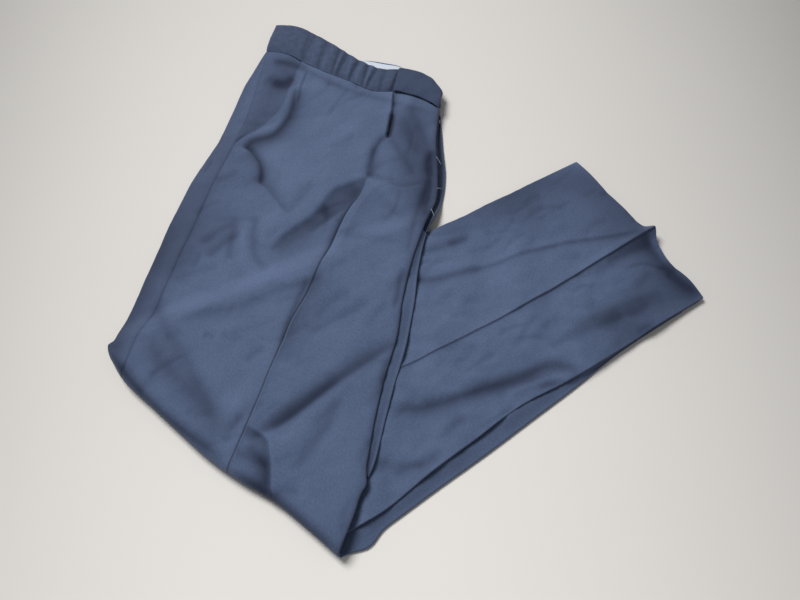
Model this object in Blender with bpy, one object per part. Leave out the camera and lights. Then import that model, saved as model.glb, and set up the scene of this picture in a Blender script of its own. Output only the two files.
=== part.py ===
"""Navy serge uniform trousers, folded in half lengthwise and folded under at the knees.

Metres, +Z up. They lie on z = 0, and the zero is at the middle of their outline.
The right leg lies on the left one. Below the knees both are turned under, so the left one is on top there.
Two halves of the pile carry everything: the upper half runs from the waist to the knees' fold, the lower half
from that fold to the hems. A place on either is a share across, a share along and a depth below its surface.
"""

import bmesh
import bpy
import numpy as np

CM = 0.01
MM = 0.001

# Driving sizes
CLOTH = 1.2 * MM
HEM_CLOTH = 2.2 * MM
BAND_CLOTH = 2.0 * MM
LAYER_GAP = 0.4 * MM
LEG_STACK = 9.2 * MM
ROLL = 9.35 * MM
EDGE_FOLD = 1.9 * MM
LOW_FOLD = 1.9 * MM
RISE = 28 * MM
HIDDEN_LAP = 10 * MM
LAP_INSET = HIDDEN_LAP + 2 * LAYER_GAP
STEP_INSET = 4.8 * MM
LOBE_INSET = 4.9 * MM
HEM_TURN_UP = 0.93
MIDDLE = np.array([1.337, 6.456]) * CM

# Outlines in centimetres on the table, each row a share of the way along, x and y
WAIST_SEAM = [
    (0, -17.0, 35.2), (0.125, -14.1, 34.5), (0.25, -11.6, 32.9), (0.375, -8.9, 31.4), (0.5, -6.2, 30.1),
    (0.625, -3.5, 28.6), (0.75, -0.5, 28.3), (0.875, 2.4, 27.3), (1, 4.8, 25.6),
]
BAND_EDGE = [
    (0, -16.1, 39.7), (0.125, -13.1, 39.2), (0.25, -10.4, 37.6), (0.375, -7.8, 35.7), (0.5, -5.3, 33.7),
    (0.625, -2.5, 32.2), (0.75, 0.7, 31.9), (0.875, 3.5, 30.6), (1, 5.3, 28.0),
]
KNEE_FOLD = [
    (0, -29.6, -7.3), (0.125, -27.7, -9.9), (0.25, -24.7, -12.5), (0.375, -21.7, -15.1), (0.5, -18.6, -17.7),
    (0.625, -15.3, -19.9), (0.75, -11.8, -21.9), (0.875, -8.7, -24.3), (1, -5.6, -26.9),
]
HEM_EDGE = [
    (0, 20.6, 18.0), (0.125, 22.2, 15.8), (0.25, 23.7, 13.4), (0.375, 25.4, 11.1), (0.5, 27.1, 8.9),
    (0.5625, 28.2, 8.4), (0.625, 28.4, 6.9), (0.75, 29.3, 4.3), (0.875, 31.2, 2.1), (1, 32.4, -0.1),
]

# Sections of the upper half: share down; outer edge x, y; inner edge x, y in centimetres; shares across of
# the side seam, pocket mouth and crease; how far the left leg shows past the inner edge, in centimetres
UPPER_SECTIONS = [
    (0.000, -17.0, 35.2, 4.8, 25.6, 0.012, 0.212, 0.730, 0.2),
    (0.083, -18.5, 31.6, 4.3, 21.1, 0.048, 0.216, 0.736, 1.0),
    (0.167, -19.7, 28.1, 4.4, 16.7, 0.074, 0.222, 0.705, 1.1),
    (0.250, -20.6, 24.5, 4.1, 12.3, 0.082, 0.160, 0.695, 0.7),
    (0.333, -21.6, 21.0, 2.5, 7.8, 0.086, 0.086, 0.676, 0.5),
    (0.417, -23.1, 17.6, 1.2, 3.5, 0.096, 0.096, 0.668, 0.9),
    (0.500, -24.4, 14.1, 0.3, -0.8, 0.110, 0.110, 0.662, 1.4),
    (0.583, -25.5, 10.5, -0.3, -5.2, 0.116, 0.116, 0.644, 1.2),
    (0.667, -26.4, 6.9, -1.5, -9.6, 0.118, 0.118, 0.628, 1.2),
    (0.750, -27.3, 3.3, -2.4, -13.9, 0.119, 0.119, 0.616, 1.1),
    (0.833, -28.1, -0.3, -3.1, -18.3, 0.116, 0.116, 0.602, 0.8),
    (0.917, -29.0, -3.9, -4.0, -22.6, 0.108, 0.108, 0.590, 0.0),
    (1.000, -29.6, -7.3, -5.6, -26.9, 0.108, 0.108, 0.586, 0.0),
]

# Sections of the lower half: share along from the knees; outer edge x, y; inner edge x, y in centimetres;
# share across of the pressed crease; how far the right leg shows past the left one, in centimetres
LOWER_SECTIONS = [
    (0.000, -29.6, -7.3, -5.6, -26.9, 0.560, 1.6),
    (0.125, -23.2, -4.3, -0.9, -23.8, 0.548, 1.2),
    (0.250, -16.9, -1.3, 3.8, -20.4, 0.538, 1.5),
    (0.375, -10.5, 1.8, 8.6, -17.0, 0.538, 1.7),
    (0.500, -4.2, 4.8, 13.3, -13.5, 0.552, 1.7),
    (0.625, 2.2, 7.8, 18.0, -10.0, 0.562, 0.8),
    (0.750, 8.4, 11.1, 22.6, -6.4, 0.572, 0.3),
    (0.875, 14.5, 14.6, 27.4, -3.2, 0.568, 0.3),
    (1.000, 20.6, 18.0, 32.4, -0.1, 0.562, 0.3),
]

# Thickness of the upper half's pile in millimetres: share down, at its outer edge, middle and inner edge
UPPER_THICKNESS = [
    (-1.0, 13.0, 10.5, 12.0), (0.0, 13.5, 11.5, 13.0), (0.1, 11.5, 10.2, 11.5), (0.3, 9.8, 9.4, 9.8),
    (0.6, 9.2, 9.2, 9.2), (1.0, 9.2, 9.2, 9.2),
]

# Folds: start x, y; end x, y; how far the middle bows to the left; half width, all in centimetres; and the
# rise in millimetres
UPPER_FOLDS = [
    (-1.0, 28.2, -1.9, 22.2, 0.1, 0.45, -2.4),
    (-2.4, 23.6, -4.0, 15.6, -0.3, 0.6, -0.9),
    (-1.4, 22.8, 1.2, 18.0, 0.2, 0.7, -1.3),
    (1.9, 23.4, 3.6, 18.0, -0.2, 0.7, -0.9),
    (1.2, 16.0, 1.0, 9.5, 0.0, 0.8, -1.2),
    (-16.8, 31.0, -13.4, 30.8, 0.0, 0.7, -1.6),
    (-13.9, 25.6, -17.2, 21.8, 0.3, 0.9, -1.8),
    (-17.4, 19.8, -16.8, 14.6, -0.3, 0.7, -1.4),
    (-4.6, 15.4, -17.4, 4.4, -0.8, 2.0, -1.4),
    (-18.0, 8.6, -16.4, 2.0, -1.2, 0.9, -1.1),
    (-1.2, -5.4, -14.6, -16.0, -0.3, 1.2, -1.8),
    (-12.7, -15.0, -12.0, -22.0, 0.0, 0.7, -1.4),
    (-4.6, -11.8, -9.4, -18.8, 0.2, 1.2, -1.0),
    (-18.0, 0.0, -12.0, -3.4, 0.4, 1.6, -0.9),
    (-24.6, -5.4, -17.6, -16.6, 0.8, 1.6, -0.9),
]
LOWER_FOLDS = [
    (-2.0, -12.8, 18.6, -9.2, -2.0, 1.2, -2.0),
    (1.0, 1.6, 27.2, 8.6, -0.4, 1.0, -0.9),
    (1.0, 4.8, 7.0, 7.2, 0.0, 0.9, -0.9),
    (17.6, -5.2, 27.4, -1.0, 0.2, 1.7, -1.5),
    (-2.4, -18.2, 3.0, -18.0, -0.3, 1.1, -1.0),
]

# Waves of the gathered waistband: share across, half width as a share, rise in millimetres
BAND_WAVES = [
    (0.21, 0.018, -0.7), (0.27, 0.020, 0.7), (0.31, 0.016, -0.8), (0.36, 0.020, 0.8), (0.405, 0.018, -1.2),
    (0.45, 0.018, 1.0), (0.49, 0.014, -1.2), (0.53, 0.014, 0.9), (0.565, 0.013, -1.1), (0.60, 0.014, 0.8),
    (0.64, 0.013, -0.7),
]

PRESSED_CREASE = 0.7 * MM
HEM_LIP = 6.0 * MM
LIP_WIDTH = 0.034


def smooth(table, share):
    """The table's other columns, read at a share along its first one, on a curve through every row."""
    rows = np.array(table, float)
    key = rows[:, 0]
    values = rows[:, 1:]
    slope = np.gradient(values, key, axis=0)
    share = np.clip(share, key[0], key[-1])
    i = np.clip(np.searchsorted(key, share) - 1, 0, len(key) - 2)
    span = (key[i + 1] - key[i])[..., None]
    s = (share - key[i])[..., None] / span
    a, b = values[i], values[i + 1]
    da, db = slope[i] * span, slope[i + 1] * span
    return a + s * da + s**2 * (3 * (b - a) - 2 * da - db) + s**3 * (2 * (a - b) + da + db)


def ease(x):
    """From 0 to 1 as x does, level at both ends."""
    x = np.clip(x, 0, 1)
    return x * x * (3 - 2 * x)


def unit(vectors):
    return vectors / np.linalg.norm(vectors, axis=-1, keepdims=True)


def patch(start, end, sides, u, v):
    """A place in centimetres on the table inside four outlines, at shares u across and v along."""
    zero, one = np.zeros_like(u), np.ones_like(u)
    across, along = u[..., None], v[..., None]
    near, far = smooth(start, u), smooth(end, u)
    edges = smooth(sides, v)
    corners = (1 - along) * ((1 - across) * smooth(start, zero) + across * smooth(start, one))
    corners = corners + along * ((1 - across) * smooth(end, zero) + across * smooth(end, one))
    between = (1 - across) * edges[..., 0:2] + across * edges[..., 2:4]
    return (1 - along) * near + along * far + between - corners


def upper_plan(u, v):
    """Where the upper half lies, in metres: v is -1 at the band, 0 at the waist seam and 1 at the knees."""
    u, v = np.broadcast_arrays(np.asarray(u, float), np.asarray(v, float))
    leg = patch(WAIST_SEAM, KNEE_FOLD, UPPER_SECTIONS, u, np.maximum(v, 0))
    band = (smooth(BAND_EDGE, u) - smooth(WAIST_SEAM, u)) * np.maximum(-v, 0)[..., None]
    return (leg + band) * CM - MIDDLE


def lower_plan(u, v):
    """Where the lower half lies, in metres: v is 0 at the knees' fold and 1 at the hems."""
    u, v = np.broadcast_arrays(np.asarray(u, float), np.asarray(v, float))
    return patch(KNEE_FOLD, HEM_EDGE, LOWER_SECTIONS, u, v) * CM - MIDDLE


def relief(folds, plan):
    """How far the folds raise or sink the cloth at each place, in metres."""
    rise = np.zeros(plan.shape[:-1])
    for x0, y0, x1, y1, bow, width, height in folds:
        start = np.array([x0, y0]) * CM - MIDDLE
        run = np.array([x1 - x0, y1 - y0]) * CM
        length = np.hypot(*run)
        t = (plan - start) @ run / length**2
        off = (plan - start) @ np.array([-run[1], run[0]]) / length - bow * CM * 4 * t * (1 - t)
        ends = 1 - np.clip(np.abs(2 * t - 1), 0, 1) ** 3
        rise += height * MM * ends * np.exp(-((off / (width * CM)) ** 2))
    return rise


def bed(plan):
    """The height of what the upper half lies on: the table, or the lower half past its outer edge."""
    start, end = lower_plan(0, 0), lower_plan(0, 0.625)
    along = unit(end - start)
    inside = (plan - start) @ np.array([along[1], -along[0]])
    return (LEG_STACK + LAYER_GAP) * ease(inside / RISE + 1.3)


def share(length, plan, v):
    """A length across a half as a share of its width there."""
    return length / np.linalg.norm(plan(np.ones_like(v), v) - plan(np.zeros_like(v), v), axis=-1)


def upper_thickness(u, v):
    """The upper half's pile above what it lies on, in metres."""
    u, v = np.broadcast_arrays(np.asarray(u, float), np.asarray(v, float))
    outer, middle, inner = np.moveaxis(smooth(UPPER_THICKNESS, v), -1, 0)
    loft = (1 - u) * (1 - 2 * u) * outer + 4 * u * (1 - u) * middle + u * (2 * u - 1) * inner
    slope = 2.0 * np.clip(1 - u / 0.1, 0, 1) ** 2 + 0.8 * np.clip(1 - (1 - u) / 0.05, 0, 1) ** 2
    crease = smooth(UPPER_SECTIONS, v)[..., 6]
    pressed = PRESSED_CREASE * np.exp(-(((u - crease) / 0.02) ** 2)) * ease(v / 0.3)
    return (loft - slope) * MM + pressed + relief(UPPER_FOLDS, upper_plan(u, v))


def lower_thickness(u, v):
    """The lower half's pile above the table, in metres."""
    u, v = np.broadcast_arrays(np.asarray(u, float), np.asarray(v, float))
    slope = 1.5 * np.clip(1 - u / 0.08, 0, 1) ** 2 + 0.6 * np.clip(1 - (1 - u) / 0.05, 0, 1) ** 2
    crease = smooth(LOWER_SECTIONS, v)[..., 4]
    lip = HEM_LIP * ease((v - 0.7) / 0.3) ** 2 * np.exp(-(((u - crease) / LIP_WIDTH) ** 2))
    pressed = PRESSED_CREASE * np.exp(-(((u - crease) / 0.02) ** 2)) * ease((v - 0.35) / 0.3)
    folded = relief(LOWER_FOLDS, lower_plan(u, v)) * ease((0.95 - u) / 0.08)
    return LEG_STACK - slope * MM + lip + pressed + folded


def upper(u, run, out=0.0, depth=0.0, height=None):
    """A point of the upper half. Run is -1 at the band's edge, 0 at the waist seam, 1 where the knees' roll
    starts and 2 where the roll meets the table. Out is sideways past the share u, depth is below the surface,
    and a height, where it is given, is above what the half lies on and takes the depth's place."""
    u, run, out, depth = np.broadcast_arrays(u, run, out, depth)
    knee = upper_plan(u, 1.0)
    start = 1 - ROLL / np.linalg.norm(knee - upper_plan(u, 0.0), axis=-1)
    v = np.where(run < 0, run, np.minimum(run, 1) * start)
    plan = upper_plan(u, v)
    step = np.where(u > 0.5, -0.01, 0.01)
    side = unit((upper_plan(u + step, v) - plan) * step[..., None])
    back = upper_plan(u, start) - knee
    thick = upper_thickness(u, v)
    depth = depth if height is None else thick - height
    angle = np.pi * np.clip(run - 1, 0, 1)[..., None]
    radius = 1 - depth[..., None] / ROLL
    rolled = knee + back * (1 - radius * np.sin(angle))
    plan = np.where(run[..., None] > 1, rolled, plan) + side * out[..., None]
    level = bed(plan) + thick - depth
    top = (bed(upper_plan(u, start)) + thick) / 2
    turned = top + (top - depth) * np.cos(angle[..., 0])
    z = np.where(run > 1, turned, level)
    return np.concatenate([plan, z[..., None]], axis=-1)


def lower(u, run, out=0.0, depth=0.0, height=None):
    """A point of the lower half, with run from 0 at the knees' fold to 1 at the hems."""
    u, run, out, depth = np.broadcast_arrays(u, run, out, depth)
    plan = lower_plan(u, run)
    step = np.where(u > 0.5, -0.01, 0.01)
    side = unit((lower_plan(u + step, run) - plan) * step[..., None])
    plan = plan + side * out[..., None]
    z = lower_thickness(u, run) - depth if height is None else np.broadcast_to(height, u.shape)
    return np.concatenate([plan, z[..., None]], axis=-1)


def material(name, colour, roughness, metallic=0.0):
    """A finish with the piece's own colour, roughness and metal."""
    made = bpy.data.materials.new(name)
    made.use_nodes = True
    shader = made.node_tree.nodes["Principled BSDF"]
    shader.inputs["Base Color"].default_value = (*colour, 1.0)
    shader.inputs["Roughness"].default_value = roughness
    shader.inputs["Metallic"].default_value = metallic
    return made


def closed_wall(name, finish, face, back):
    """A closed solid between two surfaces, each a grid of points with the same rows and columns."""
    rows, columns = face.shape[:2]
    count = rows * columns
    at = np.arange(count).reshape(rows, columns)
    halves = [[at[:-1, :-1], at[1:, :-1], at[1:, 1:]], [at[:-1, :-1], at[1:, 1:], at[:-1, 1:]]]
    triangles = np.concatenate([np.stack(half, axis=-1).reshape(-1, 3) for half in halves])
    rim = np.concatenate([at[:-1, 0], at[-1, :-1], at[:0:-1, -1], at[0, :0:-1]])
    around = np.roll(rim, -1)
    sides = np.stack([rim, rim + count, around + count, around], axis=-1)
    faces = triangles.tolist() + (triangles[:, ::-1] + count).tolist() + sides.tolist()
    mesh = bpy.data.meshes.new(name)
    mesh.from_pydata(np.concatenate([face.reshape(-1, 3), back.reshape(-1, 3)]).tolist(), [], faces)
    shape = bmesh.new()
    shape.from_mesh(mesh)
    bmesh.ops.recalc_face_normals(shape, faces=shape.faces)
    shape.to_mesh(mesh)
    shape.free()
    mesh.materials.append(finish)
    mesh.shade_smooth()
    mesh.set_sharp_from_angle(angle=0.8)
    piece = bpy.data.objects.new(name, mesh)
    bpy.context.collection.objects.link(piece)
    return piece


def columns(*stops):
    """Shares across for each row, from stops of (share for each row, number of steps to the next)."""
    made = []
    for (a, steps), (b, _) in zip(stops[:-1], stops[1:]):
        made += [a + (b - a) * k / steps for k in range(steps)]
    made.append(stops[-1][0])
    return np.stack(made, axis=1)


def fold_over(place, u, run, depth, radius, cloth, turns=3, left=None, right=None):
    """Face and back of a wall across shares u, with its named edges turned under on a radius."""
    run = run[:, None]
    depth = np.broadcast_to(depth, u.shape)
    faces, backs = [place(u, run, 0.0, depth)], [place(u, run, 0.0, depth + cloth)]
    for edge, sign in ((left, -1), (right, 1)):
        if edge is None:
            continue
        angles = np.pi * np.arange(1, turns + 1) / turns
        across, down = sign * np.sin(angles), 1 - np.cos(angles)
        column, past = (u[:, :1], -edge) if sign < 0 else (u[:, -1:], edge)
        deep = depth[:, :1] if sign < 0 else depth[:, -1:]
        inner = radius - cloth
        face = place(column, run, past + radius * across, deep + radius * down)
        back = place(column, run, past + inner * across, deep + cloth + inner * down)
        if sign < 0:
            faces.insert(0, face[:, ::-1])
            backs.insert(0, back[:, ::-1])
        else:
            faces.append(face)
            backs.append(back)
    return np.concatenate(faces, axis=1), np.concatenate(backs, axis=1)


def leg_rows(first, last, count, turns):
    """Rows down the upper half, then round the knees' roll."""
    down = np.linspace(first, last, count)
    return np.concatenate([down, last + np.arange(1, turns + 1) / turns])


def front_shares(run):
    """Columns of the right front, from the side seam or the pocket's mouth, by the crease, to its fold."""
    section = smooth(UPPER_SECTIONS, run)
    left = np.maximum(section[:, 4], section[:, 5]) + share(LAYER_GAP, upper_plan, run)
    insets = (LAP_INSET, STEP_INSET, EDGE_FOLD)
    lap, step, right = (1 - share(inset, upper_plan, np.minimum(run, 1)) for inset in insets)
    return columns((left, 8), (section[:, 6], 5), (lap, 1), (step, 1), (right, 0))


def back_shares(run):
    """Columns of the right back's strip, from the outer edge to the side seam."""
    left, inside = (share(inset, upper_plan, np.minimum(run, 1)) for inset in (EDGE_FOLD, LOBE_INSET))
    seam = np.maximum(smooth(UPPER_SECTIONS, run)[:, 4], left + 0.004)
    return columns((left, 1), (np.minimum(inside, (left + seam) / 2), 3), (seam, 0))


UPPER_ROWS = leg_rows(0.0015, 1, 22, 6)


def right_front(serge):
    """The right front, from the waist seam round the knees' roll, with its inner edge folded under."""
    face, back = fold_over(upper, front_shares(UPPER_ROWS), UPPER_ROWS, 0.0, EDGE_FOLD, CLOTH, right=0.0)
    return closed_wall("right_front", serge, face, back)


def right_back_side(serge):
    """The right back where it rolls round the outer edge, from the side seam."""
    face, back = fold_over(upper, back_shares(UPPER_ROWS), UPPER_ROWS, 0.0, EDGE_FOLD, CLOTH, left=0.0)
    return closed_wall("right_back_side", serge, face, back)


def right_hip(serge):
    """The pocket's hip piece, from the side seam to under the slant pocket's mouth."""
    run = np.linspace(0.0015, 0.3, 9)
    section = smooth(UPPER_SECTIONS, run)
    gap = share(LAYER_GAP, upper_plan, run)
    edge = np.maximum(section[:, 4], share(EDGE_FOLD, upper_plan, run) + 0.004) + gap
    mouth = np.maximum(section[:, 5], edge + 0.004)
    under = mouth + 0.03
    u = columns((edge, 4), (mouth, 2), (under, 0))
    sunk = (CLOTH + LAYER_GAP) * np.linspace(0, 1, 5) ** 2
    depth = np.concatenate([sunk, np.full(2, CLOTH + LAYER_GAP)])
    return closed_wall("right_hip", serge, *fold_over(upper, u, run, depth, EDGE_FOLD, CLOTH))


def left_edge_strip(name, serge, first, last):
    """The left leg's folded inner edge where it shows past the right one."""
    between = UPPER_ROWS[(UPPER_ROWS > first + 0.005) & (UPPER_ROWS < last - 0.005)]
    run = np.concatenate([[first], between, [last]])
    past = np.maximum(smooth(UPPER_SECTIONS, run)[:, 7], 0.2) * CM - LOW_FOLD
    inner = 1 - share(HIDDEN_LAP, upper_plan, run)
    u = columns((inner, 2), (np.ones_like(inner), 0))
    depth = upper_thickness(1.0, run)[:, None] - 2 * LOW_FOLD - LAYER_GAP / 2
    face, back = fold_over(upper, u, run, depth, LOW_FOLD, CLOTH, turns=4, right=past[:, None])
    return closed_wall(name, serge, face, back)


def hidden_profile(place, plan, run, shares, top, floor, past):
    """Face and back of a half's hidden layers at the columns given by shares: a rounded fold at the outer
    edge, a flat underside at the floor's height, and at the inner edge a step over the strip that laps in
    under the front. Past is how far the front's edge is from the outline, and top the upper surface's depth."""
    rows = run[:, None]
    width = share(1.0, plan, np.clip(run, 0, 1))[:, None]
    low = place(0 * width, rows, height=0.0)[..., 2]
    room = place(0 * width, rows)[..., 2] - low - 2 * EDGE_FOLD - 2 * LAYER_GAP
    lobe = [(0.6, 0.64, 0.36), (1.4, 0.92, 0.08), (2.6, 1.0, 0.0), (4.6, 1.0, 0.0)]
    faces = [place(inset * MM * width, rows, height=high * room) for inset, high, _ in lobe]
    backs = [place(inset * MM * width, rows, height=np.maximum(low * room, floor)) for inset, _, low in lobe]
    first = LOBE_INSET * width
    last = 1 - (past + LAP_INSET) * width
    inner = np.clip(shares, first + 0.001 * np.arange(1, shares.shape[1] + 1), last)
    inner = np.minimum(inner, last - 0.001 * np.arange(shares.shape[1], 0, -1))
    inner = np.concatenate([first, inner, last], axis=1)
    beyond = np.where(inner > shares[:, -1:], LAYER_GAP, 0.0)
    faces.append(place(inner, rows, depth=top(inner, rows) + beyond))
    backs.append(place(inner, rows, height=floor))
    for inset in (past + LAP_INSET - LAYER_GAP, past + STEP_INSET):
        u = 1 - inset * width
        faces.append(place(u, rows, depth=top(u, rows) + 2 * LAYER_GAP))
        backs.append(place(u, rows, depth=2 * EDGE_FOLD - LAYER_GAP / 2 + 0 * u))
    return np.concatenate(faces, axis=1), np.concatenate(backs, axis=1)


def upper_layers(serge):
    """The upper half's hidden layers, from inside the band's edge into the knees' roll."""
    run = np.concatenate([[-0.93, -0.6, -0.2, 0.003], UPPER_ROWS[1:24], [1.34]])
    on_leg = np.maximum(run, 0)
    shares = np.concatenate([back_shares(on_leg)[:, 2:], front_shares(on_leg)[:, 1:-3]], axis=1)

    def top(u, rows):
        hip = (1 - ease((u - 0.30) / 0.06)) * (1 - ease((rows - 0.31) / 0.06))
        band = 1 - ease((rows - 0.005) / 0.03)
        return CLOTH + LAYER_GAP + 2.9 * MM * np.maximum(hip, band) + 1.8 * MM * band

    face, back = hidden_profile(upper, upper_plan, run, shares, top, 0.0, np.zeros((len(run), 1)))
    back[run > 1] = face[run > 1]
    back[run > 1, :, 2] = LEG_STACK + LAYER_GAP
    return closed_wall("upper_layers", serge, face, back)


def waistband_right(serge):
    """The right half of the waistband, gathered in waves, with its outer end folded under."""
    run = np.linspace(-1, -0.012, 5)
    left = share(EDGE_FOLD, upper_plan, np.zeros(5)) + 0 * run
    u = columns((left, 40), (np.full(5, 0.93), 0))
    waves = sum(high * MM * np.exp(-(((u - at) / wide) ** 2)) for at, wide, high in BAND_WAVES)
    depth = -1.0 * MM - waves
    face, back = fold_over(upper, u, run, depth, BAND_CLOTH + LAYER_GAP, BAND_CLOTH, left=0.0)
    return closed_wall("waistband_right", serge, face, back)


def waistband_tab(serge):
    """The left end of the waistband, which comes round the fold and lies fastened over the right half."""
    run = np.linspace(-1.01, -0.005, 5)
    radius = 4.2 * MM
    right = 1 - share(radius, upper_plan, np.zeros(5))
    u = columns((0.725 - 0.012 * (1 + run), 7), (right, 0))
    depth = -1.0 * MM - BAND_CLOTH - LAYER_GAP
    face, back = fold_over(upper, u, run, depth, radius, BAND_CLOTH, turns=4, right=0.6 * MM)
    return closed_wall("waistband_tab", serge, face, back)


def waistband_back(name, finish, reach, top, thick):
    """A stretch of the back waistband, or of its facing, that shows where the front one dips."""
    across = np.linspace(0.50, 0.76, 9)
    rise = reach * np.sin(np.pi * np.linspace(0, 1, 9)) ** 0.7
    run = -0.7 + np.linspace(0, 1, 4)[:, None] * (-0.3 - rise)
    u = np.broadcast_to(across, run.shape)
    return closed_wall(name, finish, upper(u, run, depth=top)[::-1], upper(u, run, depth=top + thick)[::-1])


def hook(metal):
    """The small metal hook end that glints under the tab's corner."""
    run = np.array([[0.020], [0.024], [0.028]])
    out = np.array([[1.2, 2.0, 2.8]]) * MM
    low = 2 * LOW_FOLD + LAYER_GAP
    high = low + np.array([[0.8, 1.2, 0.8], [1.1, 1.5, 1.1], [0.8, 1.2, 0.8]]) * MM
    u = np.ones((3, 3))
    face = upper(u, run, out, height=high)
    back = upper(u, run, out, height=low)
    return closed_wall("hook_end", metal, face, back)


LOWER_ROWS = np.linspace(0.04, 0.895, 18)


def left_shares(run, edge, right):
    """Columns of the lower half between two edges, close beside the pressed crease."""
    crease = smooth(LOWER_SECTIONS, run)[:, 4]
    return columns((edge, 6), (crease - LIP_WIDTH, 2), (crease, 2), (crease + LIP_WIDTH, 4), (right, 0))


def left_front(serge):
    """The wearer's left front below the knees, on top of the lower half, with both edges folded under."""
    run = np.concatenate([[0.006], LOWER_ROWS, [HEM_TURN_UP - 0.005, HEM_TURN_UP + 0.005, 0.965, 1]])
    fold = share(EDGE_FOLD, lower_plan, run)
    past = share(smooth(LOWER_SECTIONS, run)[:, 5] * CM, lower_plan, run)
    u = left_shares(run, fold, 1 - past - fold)
    face, back = fold_over(lower, u, run, 0.0, EDGE_FOLD, CLOTH, left=0.0, right=0.0)
    hem = (HEM_CLOTH - CLOTH) * ease((run - HEM_TURN_UP) / 0.01 + 0.5)
    back[:, 4:-4, 2] -= hem[:, None]
    return closed_wall("left_front", serge, face, back)


def right_back_strip(serge):
    """The right leg's folded inner edge below the knees, where it shows past the left front."""
    run = np.linspace(0.045, 0.892, 18)
    past = smooth(LOWER_SECTIONS, run)[:, 5] * CM
    fold = share(LOW_FOLD, lower_plan, run)
    inner = 1 - share(past + HIDDEN_LAP, lower_plan, run)
    u = columns((inner, 3), (1 - fold, 0))
    depth = lower_thickness(u, run[:, None]) - 2 * LOW_FOLD - LAYER_GAP / 2
    face, back = fold_over(lower, u, run, depth, LOW_FOLD, CLOTH, turns=4, right=0.0)
    return closed_wall("right_back_strip", serge, face, back)


def lower_layers(serge):
    """The lower half's hidden layers, from inside the knees' roll to just short of the hems."""
    run = np.concatenate([[0.0205, 0.0235, 0.0245], LOWER_ROWS])
    floor = np.where(run < 0.024, CLOTH + 1.5 * LAYER_GAP, 0.0)[:, None]
    past = smooth(LOWER_SECTIONS, run)[:, 5] * CM
    fold = share(EDGE_FOLD, lower_plan, run)
    shares = left_shares(run, fold, 1 - share(past, lower_plan, run) - fold)[:, 1:-1]

    def top(u, rows):
        return CLOTH + LAYER_GAP + 0 * u * rows

    face, back = hidden_profile(lower, lower_plan, run, shares, top, floor, past[:, None])
    return closed_wall("lower_layers", serge, face, back)


def hem_layer(name, serge, low, high, inset, reach):
    """One of the hidden layers' hems, as shares of the pile's height, set in from the edges."""
    run = np.linspace(0.902, reach, 5)
    edge = share(inset, lower_plan, run)
    u = left_shares(run, edge, 1 - edge)
    pile = lower_thickness(u, run[:, None])
    rows = run[:, None]
    return closed_wall(name, serge, lower(u, rows, height=high * pile), lower(u, rows, height=low * pile))


def main():
    for old in list(bpy.data.objects):
        bpy.data.objects.remove(old)
    serge = material("navy_serge", (0.070, 0.098, 0.168), 0.85)
    lining = material("pale_facing", (0.62, 0.68, 0.78), 0.8)
    metal = material("bright_metal", (0.75, 0.75, 0.76), 0.3, 1.0)
    right_front(serge)
    right_back_side(serge)
    right_hip(serge)
    left_edge_strip("left_fly_edge", serge, 0.004, 0.3335)
    left_edge_strip("left_inseam_edge", serge, 0.336, 0.87)
    upper_layers(serge)
    waistband_right(serge)
    waistband_tab(serge)
    waistband_back("waistband_back", serge, 0.38, 3.7 * MM, 1.2 * MM)
    waistband_back("waistband_facing", lining, 0.30, 2.5 * MM, 0.9 * MM)
    hook(metal)
    left_front(serge)
    right_back_strip(serge)
    lower_layers(serge)
    hem_layer("left_back_hem", serge, 0.48, 0.70, 6.5 * MM, 0.994)
    hem_layer("right_back_hem", serge, 0.24, 0.42, 1.5 * MM, 0.998)
    hem_layer("right_front_hem", serge, 0.0, 0.20, 1.0 * MM, 0.992)


main()
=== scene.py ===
"""Navy serge uniform trousers, folded in half lengthwise and folded under at the knees, on a pale table.

Metres, +Z up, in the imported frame. A place on the cloth is a share across its half of the pile, a share
along it and a depth below its surface, as in the part's solids. Left and right are the wearer's.
"""

import bmesh
import bpy
import numpy as np
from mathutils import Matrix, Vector


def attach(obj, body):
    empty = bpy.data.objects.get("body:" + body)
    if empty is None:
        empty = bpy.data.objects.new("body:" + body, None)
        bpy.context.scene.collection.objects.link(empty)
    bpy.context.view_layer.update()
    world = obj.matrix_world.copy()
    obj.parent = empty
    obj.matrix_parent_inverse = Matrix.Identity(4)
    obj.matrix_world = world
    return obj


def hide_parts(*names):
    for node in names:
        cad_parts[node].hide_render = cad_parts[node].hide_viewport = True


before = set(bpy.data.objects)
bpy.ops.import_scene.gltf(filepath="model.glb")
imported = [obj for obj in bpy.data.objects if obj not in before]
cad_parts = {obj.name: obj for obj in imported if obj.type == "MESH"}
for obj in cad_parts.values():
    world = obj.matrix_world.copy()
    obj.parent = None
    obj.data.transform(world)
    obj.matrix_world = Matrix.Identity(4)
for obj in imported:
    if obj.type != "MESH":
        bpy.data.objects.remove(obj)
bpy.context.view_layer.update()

CM = 0.01
MM = 0.001

# Driving sizes of the pile, as in the solids
LAYER_GAP = 0.4 * MM
WALL = 1.2 * MM
BAND_WALL = 2.0 * MM
LEG_STACK = 9.2 * MM
ROLL = 9.35 * MM
EDGE_FOLD = 1.9 * MM
RISE = 28 * MM
HIDDEN_LAP = 10 * MM
LAP_INSET = HIDDEN_LAP + 2 * LAYER_GAP
STEP_INSET = 4.8 * MM
LOBE_INSET = 4.9 * MM
MIDDLE = np.array([1.337, 6.456]) * CM

# The cloth itself: its thickness, the size of its faces, and the radii and depths of its turned edges
SERGE = 0.6 * MM
CELL = 2.0 * MM
TURN = 0.65 * MM
FRONT_TURN = 1.2 * MM
FRONT_TUCK = 3 * MM
STRIP_TURN = 1.3 * MM
SEAM_TURN = 0.4 * MM
HEM_DEPTH = 35 * MM
HEM_FOLD = 1.0 * MM
INNER_HEM_FOLD = 0.9 * MM
BAND_TURN = 0.9 * MM
BAND_TUCK = 5 * MM

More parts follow.
